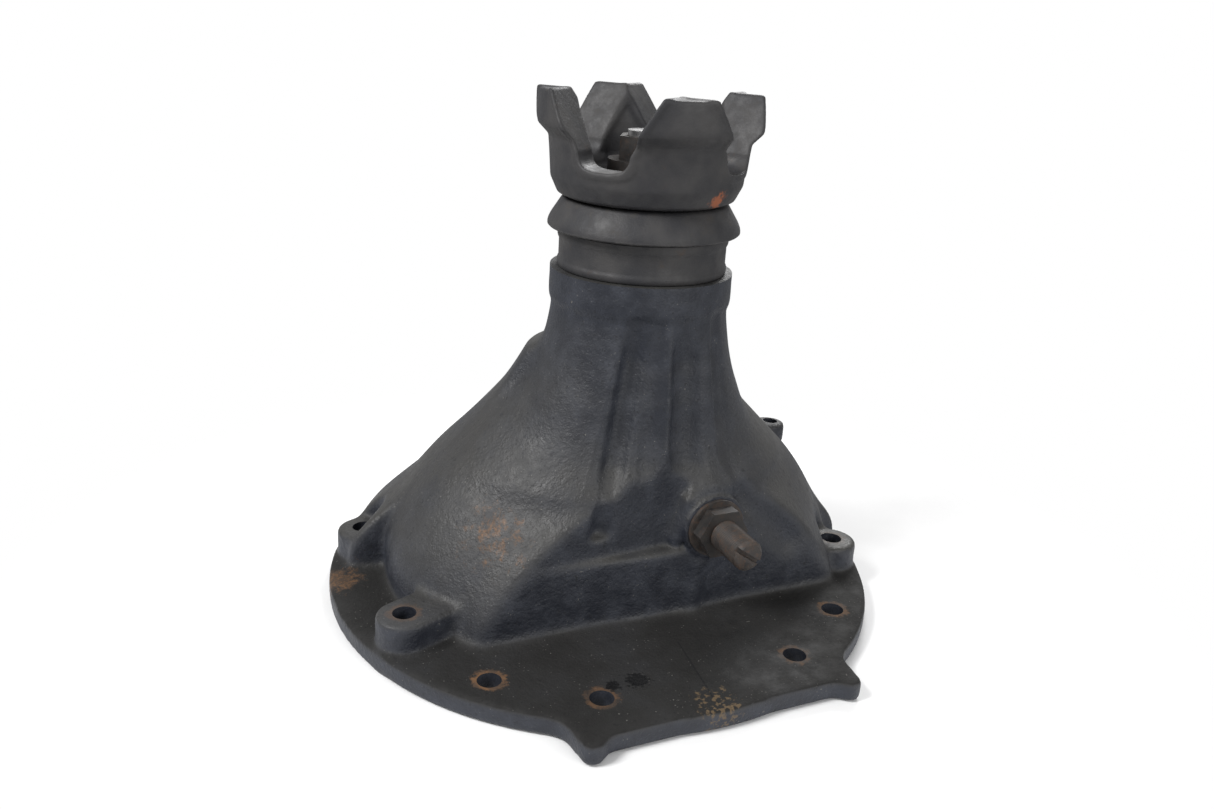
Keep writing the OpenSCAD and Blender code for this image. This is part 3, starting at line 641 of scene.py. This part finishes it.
def make_yoke():
    """The forged yoke: a cup with four posts, whose slots have a slightly raised border."""
    step = 1.1
    low = np.array([PINION[0] - YOKE_R - 5, PINION[1] - YOKE_R - 5, 232])
    high = np.array([PINION[0] + YOKE_R + 5, PINION[1] + YOKE_R + 5, YOKE_HIGH[2] + 5])
    steel = Casting(low, high, step)
    body = yoke_body()
    steel.add(body, 1)
    slots = [POST_TURN + 45 + 90 * k for k in range(4)]
    for angle in slots:
        steel.add(raised_border(body, slot_shape(angle, BORDER_W)), 1.5)
    for angle in slots:
        steel.cut(slot_shape(angle), 1.5)
    steel.soften()
    yoke = steel.mesh("yoke_forging")
    cut_with(yoke, bore(SHAFT_R, 230, CUP_FLOOR + 5))
    smooth_shade(yoke, 42)
    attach(yoke, "pinion")
    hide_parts("end_yoke")
    return yoke


def turned(name, profile, place, sides=128):
    """A solid turned from a closed outline of (radius, height) about an upright line."""
    bm = bmesh.new()
    rings = []
    for k in range(sides):
        a = 2 * math.pi * k / sides
        rings.append([bm.verts.new((r * math.cos(a), r * math.sin(a), z)) for r, z in profile])
    count = len(profile)
    for k in range(sides):
        here, there = rings[k], rings[(k + 1) % sides]
        for i in range(count):
            j = (i + 1) % count
            bm.faces.new((here[i], there[i], there[j], here[j]))
    bm.transform(Matrix.Translation(Vector(place) * MM) @ Matrix.Scale(MM, 4))
    bmesh.ops.recalc_face_normals(bm, faces=bm.faces)
    piece = as_piece(name, bm)
    smooth_shade(piece, 35)
    return piece


def rounded(points, r=0.8):
    """An outline with each corner cut by a small chamfer."""
    result = []
    for before, here, after in zip(points[-1:] + points[:-1], points, points[1:] + points[:1]):
        for other in (before, after):
            length = math.dist(here, other)
            t = min(r / length, 0.4)
            result.append((here[0] + (other[0] - here[0]) * t, here[1] + (other[1] - here[1]) * t))
    return result


def make_deflector():
    """The pressed ring between the yoke and the band, with a lip at its outer edge."""
    profile = rounded([(HUB_R, 323), (60, 323), (70.5, 307), (70.5, 304.5), (73, 304.5), (73, 308),
                       (71, 312.5), (63, 325), (60, 326), (HUB_R, 326)], 1.0)
    piece = turned("deflector_pressing", profile, (*PINION, 0))
    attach(piece, "pinion")
    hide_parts("dust_deflector")
    return piece


def make_band():
    """The seal carrier: a plain band on the neck, with a bead at its top and its bottom."""
    r, low, high = (BAND_HIGH[0] - BAND_LOW[0]) / 2, NECK_TOP, BAND_HIGH[2]
    profile = rounded([(42, low - 18), (54, low - 18), (54, low), (r - 1, low), (r, low + 2), (r, low + 5),
                       (r - 1.2, low + 7), (r - 1.2, high - 8), (r, high - 6), (r, high),
                       (49, high), (49, high - 16), (42, high - 16)], 0.7)
    piece = turned("seal_band", profile, (*PINION, 0))
    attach(piece, "carrier")
    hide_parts("seal_carrier")
    return piece


# ---------- Thrust screw ----------

THREAD_PITCH, THREAD_DEPTH = 2.0, 0.9
SCREW_SIDES = 64
SCREW_CHAMFER = 2.4
SCREW_SLOT_TURN = 0.6


def thread_radius(distance):
    """The screw's radius at a distance along its thread: a triangle wave once a pitch."""
    return SCREW_R - THREAD_DEPTH * abs(2 * ((distance / THREAD_PITCH) % 1) - 1)


def screw_ring(bm, z, radius_at):
    """One ring of points round the screw. radius_at gives the radius for a fraction of a turn."""
    ring = []
    for k in range(SCREW_SIDES):
        a = 2 * math.pi * k / SCREW_SIDES
        r = radius_at(k / SCREW_SIDES)
        ring.append(bm.verts.new((r * math.cos(a), r * math.sin(a), z)))
    return ring


def screw_slot(bm, end):
    place = Matrix.Translation(Vector((SCREW[0], -end, SCREW[1])) * MM)
    size = Matrix.Diagonal((40 * MM, 8 * MM, 3.4 * MM, 1))
    bmesh.ops.create_cube(bm, size=1, matrix=place @ Matrix.Rotation(SCREW_SLOT_TURN, 4, "Y") @ size)


def make_screw():
    """The thrust screw, threaded all along, with a worn slot across its end."""
    low, end = -SCREW_HIGH[1], -SCREW_LOW[1]
    levels = [low + 0.1, *np.arange(low + 0.5, end - 3, THREAD_PITCH / 6), end - SCREW_CHAMFER]
    bm = bmesh.new()
    rings = [screw_ring(bm, z, lambda part, z=z: thread_radius(z + THREAD_PITCH * part)) for z in levels]
    rings.append(screw_ring(bm, end, lambda part: SCREW_R - SCREW_CHAMFER))
    for here, there in zip(rings, rings[1:]):
        for k in range(SCREW_SIDES):
            after = (k + 1) % SCREW_SIDES
            bm.faces.new((here[k], here[after], there[after], there[k]))
    bm.faces.new(rings[0][::-1])
    bm.faces.new(rings[-1])
    place = Matrix.Translation(Vector((SCREW[0], 0, SCREW[1])) * MM)
    bm.transform(place @ Matrix.Rotation(math.radians(90), 4, "X") @ Matrix.Scale(MM, 4))
    screw = as_piece("threaded_screw", bm)
    cut_with(screw, lambda cutter: screw_slot(cutter, end))
    smooth_shade(screw, 50)
    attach(screw, "carrier")
    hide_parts("thrust_screw")
    return screw


# ---------- Materials ----------

class Look:
    """A material under construction. Distances in its calls are in millimetres."""

    def __init__(self, name, roughness, metallic=0.0, specular=0.5):
        self.material = bpy.data.materials.new(name)
        self.material.use_nodes = True
        self.tree = self.material.node_tree
        self.shader = self.tree.nodes["Principled BSDF"]
        self.shader.inputs["Metallic"].default_value = metallic
        self.shader.inputs["Roughness"].default_value = roughness
        self.shader.inputs["Specular IOR Level"].default_value = specular
        self.at = self.node("ShaderNodeTexCoord").outputs["Object"]

    def put(self, socket, value):
        if isinstance(value, bpy.types.NodeSocket):
            self.tree.links.new(value, socket)
        elif isinstance(value, tuple) and len(value) == 3 and socket.type == "RGBA":
            socket.default_value = (*value, 1)
        else:
            socket.default_value = value

    def node(self, kind, settings=None, **inputs):
        node = self.tree.nodes.new(kind)
        for key, value in (settings or {}).items():
            setattr(node, key, value)
        for key, value in inputs.items():
            self.put(node.inputs[key.replace("_", " ")], value)
        return node

    def calculate(self, operation, a, b=0.0, clamp=False):
        node = self.node("ShaderNodeMath", {"operation": operation, "use_clamp": clamp})
        self.put(node.inputs[0], a)
        self.put(node.inputs[1], b)
        return node.outputs[0]

    def ramp(self, value, low, high, to_low=0.0, to_high=1.0):
        node = self.node("ShaderNodeMapRange", {"interpolation_type": "SMOOTHSTEP"}, Value=value)
        names = ("From Min", "From Max", "To Min", "To Max")
        for key, number in zip(names, (low, high, to_low, to_high)):
            node.inputs[key].default_value = number
        return node.outputs[0]

    def noise(self, size, detail=3.0, rough=0.55, stretch=(1, 1, 1)):
        """Noise whose blotches are about size across."""
        where = self.at
        if stretch != (1, 1, 1):
            where = self.node("ShaderNodeMapping", Vector=self.at, Scale=stretch).outputs[0]
        node = self.node("ShaderNodeTexNoise", Vector=where)
        node.inputs["Scale"].default_value = 1 / (size * MM)
        node.inputs["Detail"].default_value = detail
        node.inputs["Roughness"].default_value = rough
        return node.outputs["Fac"]

    def mix(self, a, b, amount):
        node = self.node("ShaderNodeMix", {"data_type": "RGBA"})
        self.put(node.inputs[0], amount)
        self.put(node.inputs[6], a)
        self.put(node.inputs[7], b)
        return node.outputs[2]

    def facing_up(self, low=0.3, high=0.9):
        normal = self.node("ShaderNodeNewGeometry").outputs["Normal"]
        return self.ramp(self.node("ShaderNodeSeparateXYZ", Vector=normal).outputs[2], low, high)

    def edges(self, low=0.53, high=0.6):
        return self.ramp(self.node("ShaderNodeNewGeometry").outputs["Pointiness"], low, high)

    def near(self, place, r, ragged=0.5, axes=(1, 1, 1), soft=0.45):
        """1 near a place, fading out raggedly at about the radius r. axes weighs each direction."""
        away = self.node("ShaderNodeVectorMath", {"operation": "SUBTRACT"})
        self.put(away.inputs[0], self.at)
        away.inputs[1].default_value = [c * MM for c in place]
        weighed = self.node("ShaderNodeVectorMath", {"operation": "MULTIPLY"})
        self.put(weighed.inputs[0], away.outputs[0])
        weighed.inputs[1].default_value = axes
        length = self.node("ShaderNodeVectorMath", {"operation": "LENGTH"})
        self.put(length.inputs[0], weighed.outputs[0])
        fray = ragged * r * MM
        frayed = self.ramp(self.noise(r * 0.35 + 1.5, 5, 0.7), 0.25, 0.75, -fray, fray)
        reach = self.calculate("ADD", length.outputs["Value"], frayed)
        return self.ramp(reach, r * MM * (1 + soft), r * MM * (1 - soft))

    def most(self, *masks):
        total = masks[0]
        for mask in masks[1:]:
            total = self.calculate("MAXIMUM", total, mask)
        return total

    def times(self, *masks):
        total = masks[0]
        for mask in masks[1:]:
            total = self.calculate("MULTIPLY", total, mask)
        return total

    def bump(self, *layers):
        """Each layer is (height from 0 to 1, its depth)."""
        normal = None
        for height, depth in layers:
            node = self.node("ShaderNodeBump", Height=height)
            node.inputs["Distance"].default_value = depth * MM
            node.inputs["Strength"].default_value = 1.0
            if normal is not None:
                self.put(node.inputs["Normal"], normal)
            normal = node.outputs[0]
        self.put(self.shader.inputs["Normal"], normal)

    def finish(self, colour, roughness=None):
        self.put(self.shader.inputs["Base Color"], colour)
        if roughness is not None:
            self.put(self.shader.inputs["Roughness"], roughness)
        return self.material


SLATE = (0.017, 0.0195, 0.0275)
SLATE_WORN = (0.036, 0.040, 0.052)
# Dust colour, which also serves as painted light on faces turned up
DUST_AND_TOP_LIGHT = (0.046, 0.044, 0.040)
PALE_DUST = (0.13, 0.125, 0.115)
RUST = (0.070, 0.045, 0.030)
ORANGE_RUST = (0.15, 0.078, 0.036)
OILY = (0.0085, 0.008, 0.0075)
BLACK_OIL = (0.004, 0.004, 0.0045)


TAN = (0.14, 0.095, 0.05)
FORGED = (0.027, 0.027, 0.030)
FORGED_WORN = (0.052, 0.050, 0.050)
FORGED_DUST = (0.05, 0.046, 0.042)
FORGED_EDGE = (0.11, 0.105, 0.10)
FRESH_RUST = (0.33, 0.10, 0.04)
BROWN_RUST = (0.13, 0.06, 0.03)
YOKE_RUST_AT = (40, -82, 334)

# The flange hole with the most rust round it, by the left end of the straight edge
RUSTIEST = min(((x, y) for x, y in BOLTS if y < -100), key=lambda place: place[0])
# Patches where the paint has gone: place, radius and strength
RUST_PATCHES = [((-134, -84, 106), 24, 0.95), ((-160, -66, 86), 8, 0.7), ((-214, 30, FLANGE_T), 13, 0.7)]
# The straight line scribed in the flange's paint, from its inner to its outer end
SCRIBED_LINE = ((3.5, -140), (-6.5, -218))


def cast_paint(name):
    """Old dark paint on sand-cast iron, with dust and painted top light, rubbed edges, rust, oil and grime,
    and painted shade inside the flange holes.
    """
    look = Look(name, 0.55, specular=0.4)
    cloud, blotch = look.noise(70, 4), look.noise(16, 5, 0.65)
    height = look.node("ShaderNodeSeparateXYZ", Vector=look.at).outputs[2]
    on_plate = look.ramp(height, (FLANGE_T + 7) * MM, (FLANGE_T + 1) * MM)
    plate = look.times(on_plate, look.facing_up(0.2, 0.7))
    oil = oil_marks(look)
    colour = paint_colour(look, cloud, blotch, plate)
    colour = mark_colour(look, colour, blotch, oil)
    rough = look.ramp(blotch, 0.3, 0.7, 0.42, 0.62)
    rough = look.calculate("ADD", rough, look.times(plate, 0.3), True)
    rough = look.calculate("SUBTRACT", rough, look.times(oil, 0.3), True)
    look.bump((look.noise(26, 2), 0.9), (look.noise(3.4, 3, 0.6), 0.75), (look.noise(1.5, 2), 0.22))
    return look.finish(colour, rough)


def paint_colour(look, cloud, blotch, plate):
    """The paint itself, lighter where it faces up, as dust and as painted light from above, and nearly black
    on the flange's top.
    """
    paint = look.mix(SLATE, SLATE_WORN, look.ramp(blotch, 0.38, 0.72))
    # Lighter on faces turned up: partly dust, partly painted light falling from above
    dust_and_top_light = look.times(look.facing_up(-0.1, 0.8), look.ramp(cloud, 0.2, 0.62, 0.45, 1.0))
    colour = look.mix(paint, DUST_AND_TOP_LIGHT, look.times(dust_and_top_light, 0.85))
    colour = look.mix(colour, SLATE, look.ramp(look.noise(5, 4, 0.7), 0.56, 0.74, 0.0, 0.5))
    colour = look.mix(colour, OILY, look.times(plate, look.ramp(cloud, 0.25, 0.6, 0.6, 0.95)))
    rubbed = look.times(look.edges(0.525, 0.6), look.ramp(blotch, 0.4, 0.6))
    colour = look.mix(colour, PALE_DUST, look.times(rubbed, 0.4))
    pits = look.ramp(look.noise(4, 5, 0.75), 0.56, 0.66, 0.0, 0.55)
    colour = look.mix(colour, BLACK_OIL, pits)
    specks = look.times(look.ramp(look.noise(1.6, 1), 0.7, 0.76), look.ramp(blotch, 0.48, 0.58))
    return look.mix(colour, PALE_DUST, specks)


def mark_colour(look, colour, blotch, oil):
    """The marks that this housing has in its own places, and painted shade in its flange holes."""
    # Painted shade: black on the walls of the flange holes, where they lie in shade
    colour = look.mix(colour, BLACK_OIL, look.times(shaded_hole_walls(look), 0.7))
    rusty = look.mix(RUST, ORANGE_RUST, look.ramp(look.noise(2.2, 3), 0.4, 0.65))
    colour = look.mix(colour, rusty, housing_rust(look))
    rusty = look.mix(RUST, ORANGE_RUST, look.ramp(blotch, 0.4, 0.6))
    colour = look.mix(colour, rusty, bolt_rust(look))
    colour = look.mix(colour, BLACK_OIL, oil)
    colour = look.mix(colour, BLACK_OIL, straight_mark(look, *SCRIBED_LINE, 1.0))
    bare = look.times(look.near((-6, -216, 14), 15, 0.6, soft=0.2), look.ramp(look.noise(4, 4), 0.5, 0.6))
    return look.mix(colour, TAN, look.times(bare, 0.7))


def shaded_hole_walls(look):
    """The walls of the flange holes, painted dark as the shade inside them."""
    holes = (look.near((x, y, 0), BOLT_HOLE_R - 0.6, 0, (1, 1, 0), 0.08) for x, y in BOLTS)
    return look.times(look.most(*holes), look.facing_up(0.6, 0.2))


def housing_rust(look):
    patches = (look.times(look.near(place, r, 0.8), strength) for place, r, strength in RUST_PATCHES)
    return look.most(*patches)


def bolt_rust(look):
    """Rust spread from the holes on the straight edge's half, most at the rustiest one."""
    rings = []
    for x, y in BOLTS:
        if y < 0:
            strength = 0.95 if (x, y) == RUSTIEST else 0.55 if abs(x) < 160 else 0.3
            ring = look.near((x, y, 0), BOLT_HOLE_R + 3, 0.25, (1, 1, 0), 0.16)
            rings.append(look.times(ring, strength))
    return look.times(look.most(*rings), look.facing_up(0.2, 0.7))


def oil_marks(look):
    """Wet black oil in two spots, and a dark film towards the straight edge."""
    wet = [look.near((-46, -174, 16), 8, 0.6, soft=0.08), look.near((-65, -174, 16), 5.5, 0.7, soft=0.08)]
    film = look.near((46, -178, 16), 40, 0.5, soft=0.3)
    return look.most(*wet, look.times(film, 0.35))


def straight_mark(look, a, b, width):
    """1 along a thin line between two places on the flange."""
    span = np.array(b, float) - np.array(a, float)
    length = math.hypot(*span)
    along, beside = span / length, np.array([-span[1], span[0]]) / length
    distances = []
    for direction, limit in ((beside, width / 2), (along, length / 2)):
        dot = look.node("ShaderNodeVectorMath", {"operation": "DOT_PRODUCT"})
        look.put(dot.inputs[0], look.at)
        dot.inputs[1].default_value = (*direction, 0)
        middle = float((np.array(a) + np.array(b)) / 2 @ direction) * MM
        off = look.calculate("ABSOLUTE", look.calculate("SUBTRACT", dot.outputs["Value"], middle))
        distances.append(look.ramp(off, (limit + 0.4) * MM, (limit - 0.2) * MM))
    return look.times(*distances)


def forged_paint(name, rust_at=None):
    """Matte, slightly warm dark grey on a forging, rubbed on its edges."""
    look = Look(name, 0.6, specular=0.35)
    blotch, cloud = look.noise(9, 5, 0.65), look.noise(40, 3)
    colour = look.mix(FORGED, FORGED_WORN, look.ramp(cloud, 0.35, 0.7))
    dusty = look.times(look.ramp(blotch, 0.5, 0.75), look.facing_up(0.0, 0.9))
    colour = look.mix(colour, FORGED_DUST, dusty)
    rubbed = look.times(look.edges(0.52, 0.6), look.ramp(blotch, 0.4, 0.6))
    colour = look.mix(colour, FORGED_EDGE, look.times(rubbed, 0.5))
    colour = look.mix(colour, RUST, look.ramp(look.noise(22, 4, 0.7), 0.62, 0.8, 0.0, 0.5))
    if rust_at is not None:
        colour = look.mix(colour, FRESH_RUST, look.times(look.near(rust_at, 6, 0.8), 0.85))
    look.bump((look.noise(7, 3), 0.35), (look.noise(1.4, 3, 0.6), 0.16))
    return look.finish(colour, look.ramp(blotch, 0.3, 0.7, 0.5, 0.68))


def turned_steel(name, base, worn, roughness, metallic=0.9, rust=0.0, fine=1.0):
    """Machined steel with fine tool marks and duller blotches. rust is how much of it has rusted."""
    look = Look(name, roughness, metallic)
    blotch = look.noise(12, 5, 0.65)
    colour = look.mix(base, worn, look.ramp(blotch, 0.35, 0.7))
    if rust:
        bloom = look.times(look.ramp(look.noise(7, 6, 0.7), 0.4, 0.62), rust)
        colour = look.mix(colour, RUST, bloom)
        colour = look.mix(colour, BROWN_RUST, look.times(bloom, look.ramp(look.noise(2.5, 4), 0.5, 0.7)))
    look.bump((look.noise(0.8, 2, 0.5, (1, 1, 6)), 0.05 * fine), (look.noise(4, 3), 0.1 * fine))
    return look.finish(colour, look.ramp(blotch, 0.3, 0.7, roughness - 0.1, roughness + 0.12))


def plain_look(name, base, worn, roughness, metallic=0.0, grain=1.0):
    look = Look(name, roughness, metallic)
    colour = look.mix(base, worn, look.ramp(look.noise(10, 4), 0.35, 0.7))
    look.bump((look.noise(grain, 3), 0.1))
    return look.finish(colour, look.ramp(look.noise(14, 3), 0.3, 0.7, roughness - 0.08, roughness + 0.08))


# Each machined steel: its darker and lighter colour, roughness, and what differs from the usual
STEELS = {
    "rusty_steel": ((0.028, 0.025, 0.024), (0.06, 0.052, 0.047), 0.6, {"metallic": 0.2, "rust": 0.45}),
    "nut_steel": ((0.017, 0.016, 0.016), (0.038, 0.035, 0.033), 0.6, {"metallic": 0.2, "rust": 0.2}),
    "bolt_steel": ((0.06, 0.06, 0.062), (0.12, 0.12, 0.125), 0.45, {}),
    "bare_steel": ((0.36, 0.36, 0.365), (0.48, 0.48, 0.485), 0.35, {}),
    "bearing_steel": ((0.52, 0.52, 0.53), (0.66, 0.66, 0.67), 0.2, {"fine": 0.3}),
    "gear_steel": ((0.24, 0.24, 0.245), (0.38, 0.375, 0.37), 0.32, {}),
}
# Each other material: its two colours, roughness, how metallic it is, and the size of its grain
OTHERS = {
    "case_iron": ((0.10, 0.10, 0.102), (0.17, 0.168, 0.165), 0.5, 0.6, 2.0),
    "shim_brass": ((0.50, 0.36, 0.15), (0.66, 0.50, 0.26), 0.35, 0.95, 1.5),
    "seal_rubber": ((0.012, 0.012, 0.012), (0.024, 0.024, 0.024), 0.6, 0.0, 1.2),
}


def make_looks():
    looks = {
        "housing_cast": cast_paint("housing_cast"),
        "yoke_steel": forged_paint("yoke_steel", YOKE_RUST_AT),
        "band_steel": forged_paint("band_steel"),
    }
    for name, (base, worn, roughness, more) in STEELS.items():
        looks[name] = turned_steel(name, base, worn, roughness, **more)
    for name, values in OTHERS.items():
        looks[name] = plain_look(name, *values)
    return looks


def dress(piece, look):
    piece.data.materials.clear()
    piece.data.materials.append(look)


LOOKS = make_looks()
for part in frame["record"]["subparts"]:
    dress(frame["nodes"][part["node"]], LOOKS[part["material_slot"]])

dress(make_housing(), LOOKS["housing_cast"])
dress(make_yoke(), LOOKS["yoke_steel"])
dress(make_deflector(), LOOKS["band_steel"])
dress(make_band(), LOOKS["band_steel"])
dress(make_screw(), LOOKS["rusty_steel"])


# ---------- Camera, light and floor ----------

CAMERA_PLACE = (-0.342, -0.730, 0.453)
CAMERA_HEADING, CAMERA_TILT, CAMERA_ROLL = 25.06, -20.20, 3.23
CAMERA_LENS = 31.26
AMBIENT = 0.42
FLOOR_RINGS = (0.205, 0.24, 0.3, 0.4, 0.6, 1.0)
FLOOR_SIDES = 96
FLOOR_Z = -0.0004


def make_camera():
    """The photograph's camera, a little higher than the yoke and looking down."""
    data = bpy.data.cameras.new("camera")
    data.lens = CAMERA_LENS
    camera = link(bpy.data.objects.new("camera", data))
    camera.location = CAMERA_PLACE
    turn = Matrix.Rotation(math.radians(-CAMERA_HEADING), 4, "Z")
    tilt = Matrix.Rotation(math.radians(90 + CAMERA_TILT), 4, "X")
    roll = Matrix.Rotation(math.radians(CAMERA_ROLL), 4, "Z")
    camera.rotation_euler = (turn @ tilt @ roll).to_euler()
    bpy.context.scene.camera = camera


def make_world():
    """A white background that lights the object less brightly than the camera sees it."""
    world = bpy.data.worlds.new("studio")
    world.use_nodes = True
    bpy.context.scene.world = world
    background = world.node_tree.nodes["Background"]
    background.inputs["Color"].default_value = (1.0, 1.0, 1.0, 1)
    path = world.node_tree.nodes.new("ShaderNodeLightPath")
    level = world.node_tree.nodes.new("ShaderNodeMapRange")
    level.inputs["To Min"].default_value = AMBIENT
    level.inputs["To Max"].default_value = 1.0
    world.node_tree.links.new(path.outputs["Is Camera Ray"], level.inputs["Value"])
    world.node_tree.links.new(level.outputs[0], background.inputs["Strength"])
    bpy.context.scene.view_settings.view_transform = "Standard"


def make_light(name, place, size, power, colour=(1, 1, 1)):
    data = bpy.data.lights.new(name, "AREA")
    data.shape, data.size, data.energy, data.color = "DISK", size, power, colour
    light = link(bpy.data.objects.new(name, data))
    light.location = place
    aim = Vector((0, 0, 0.15)) - Vector(place)
    light.rotation_euler = aim.to_track_quat("-Z", "Y").to_euler()


def floor_look():
    """White board that fades out between two distances from the object."""
    look = Look("floor", 0.9)
    away = look.node("ShaderNodeVectorMath", {"operation": "LENGTH"})
    look.put(away.inputs[0], look.at)
    fade = look.ramp(away.outputs["Value"], 0.27, 0.5)
    clear = look.node("ShaderNodeBsdfTransparent").outputs[0]
    blend = look.node("ShaderNodeMixShader", Fac=fade)
    look.put(blend.inputs[1], look.shader.outputs[0])
    look.put(blend.inputs[2], clear)
    look.put(look.tree.nodes["Material Output"].inputs["Surface"], blend.outputs[0])
    tone = look.ramp(look.noise(60, 2), 0.2, 0.8, 0.9, 0.94)
    return look.finish(tone)


def make_floor():
    """A pale bench top with an opening under the flange, fading out all round."""
    bm = bmesh.new()
    angles = np.linspace(0, 2 * math.pi, FLOOR_SIDES, endpoint=False)
    loops = [[bm.verts.new((r * math.cos(a), r * math.sin(a), FLOOR_Z)) for a in angles]
             for r in FLOOR_RINGS]
    for inner, outer in zip(loops, loops[1:]):
        for k in range(FLOOR_SIDES):
            after = (k + 1) % FLOOR_SIDES
            bm.faces.new((inner[k], outer[k], outer[after], inner[after]))
    floor = as_piece("floor", bm)
    floor.data.materials.append(floor_look())
    return floor


make_camera()
make_world()
make_light("key", (-1.6, -0.2, 1.7), 0.8, 46)
make_light("fill", (0.6, -1.9, 0.8), 1.4, 17)
make_light("rim", (1.1, 1.2, 1.5), 1.0, 30)
make_floor()
